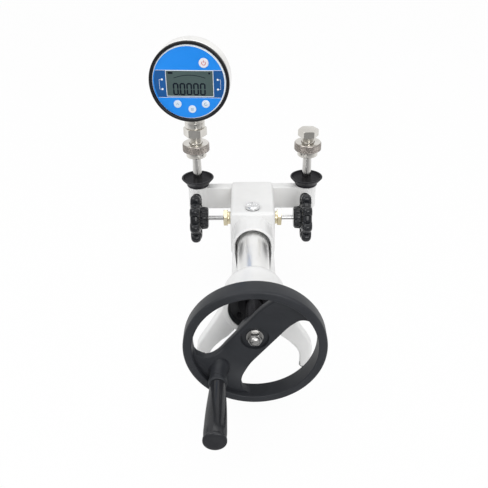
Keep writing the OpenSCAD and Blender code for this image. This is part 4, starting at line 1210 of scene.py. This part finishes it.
floor_mesh.materials.append(floor_paper)
floor = bpy.data.objects.new("floor", floor_mesh)
bpy.context.scene.collection.objects.link(floor)

# %% World and lamps
world = bpy.data.worlds.new("studio")
bpy.context.scene.world = world
world.use_nodes = True
tree, link = world.node_tree, world.node_tree.links.new
plain = tree.nodes["Background"]
plain.inputs["Color"].default_value = WHITE
plain.inputs["Strength"].default_value = 0.70
seen = add_node(tree, "Background", {"Strength": 1.0})
where = add_node(tree, "TexCoord")
apart = add_node(tree, "SeparateXYZ")
sky = add_node(tree, "ValToRGB")
for k, (height, grey) in enumerate(((0.0, 0.36), (0.30, 0.46), (0.46, 1.0))):
    stop = sky.color_ramp.elements[k] if k < 2 else sky.color_ramp.elements.new(height)
    stop.position, stop.color = height, (grey, grey, grey, 1)
link(where.outputs["Generated"], apart.inputs[0])
link(apart.outputs["Z"], sky.inputs["Fac"])
ray = add_node(tree, "LightPath")
paler = tree.nodes.new("ShaderNodeMix")
paler.data_type = "RGBA"
paler.inputs["B"].default_value = WHITE
link(ray.outputs["Is Camera Ray"], paler.inputs["Factor"])
link(sky.outputs["Color"], paler.inputs["A"])
link(paler.outputs["Result"], seen.inputs["Color"])
mixed = add_node(tree, "MixShader")
link(weighted(tree, ray, (1.0, 1.0, 1.0)), mixed.inputs[0])
link(plain.outputs[0], mixed.inputs[1])
link(seen.outputs[0], mixed.inputs[2])
link(mixed.outputs[0], tree.nodes["World Output"].inputs["Surface"])


def lamp(name, place, aim, width, height, power):
    data = bpy.data.lights.new(name, "AREA")
    data.shape = "RECTANGLE"
    data.size, data.size_y, data.energy = width, height, power
    light = bpy.data.objects.new(name, data)
    bpy.context.scene.collection.objects.link(light)
    light.location = place
    light.rotation_euler = (Vector(aim) - Vector(place)).to_track_quat("-Z", "Y").to_euler()


lamp("key_light", (-1.1, -0.7, 1.7), (0, -0.15, 0.1), 1.1, 1.1, 8)
lamp("top_light", (0.1, 0.35, 1.9), (0, -0.1, 0.1), 1.4, 0.9, 6)
lamp("fill_light", (0.5, -1.9, 0.9), (0, -0.1, 0.09), 1.2, 0.9, 12)
scene = bpy.context.scene
scene.view_settings.view_transform = "Standard"

# %% [markdown]
# ## Finish
# The last cell prints how many pieces were made and how many faces they have.

# %% Pieces made
print("pieces made:", len(made_pieces), "faces:", sum(made_pieces.values()))
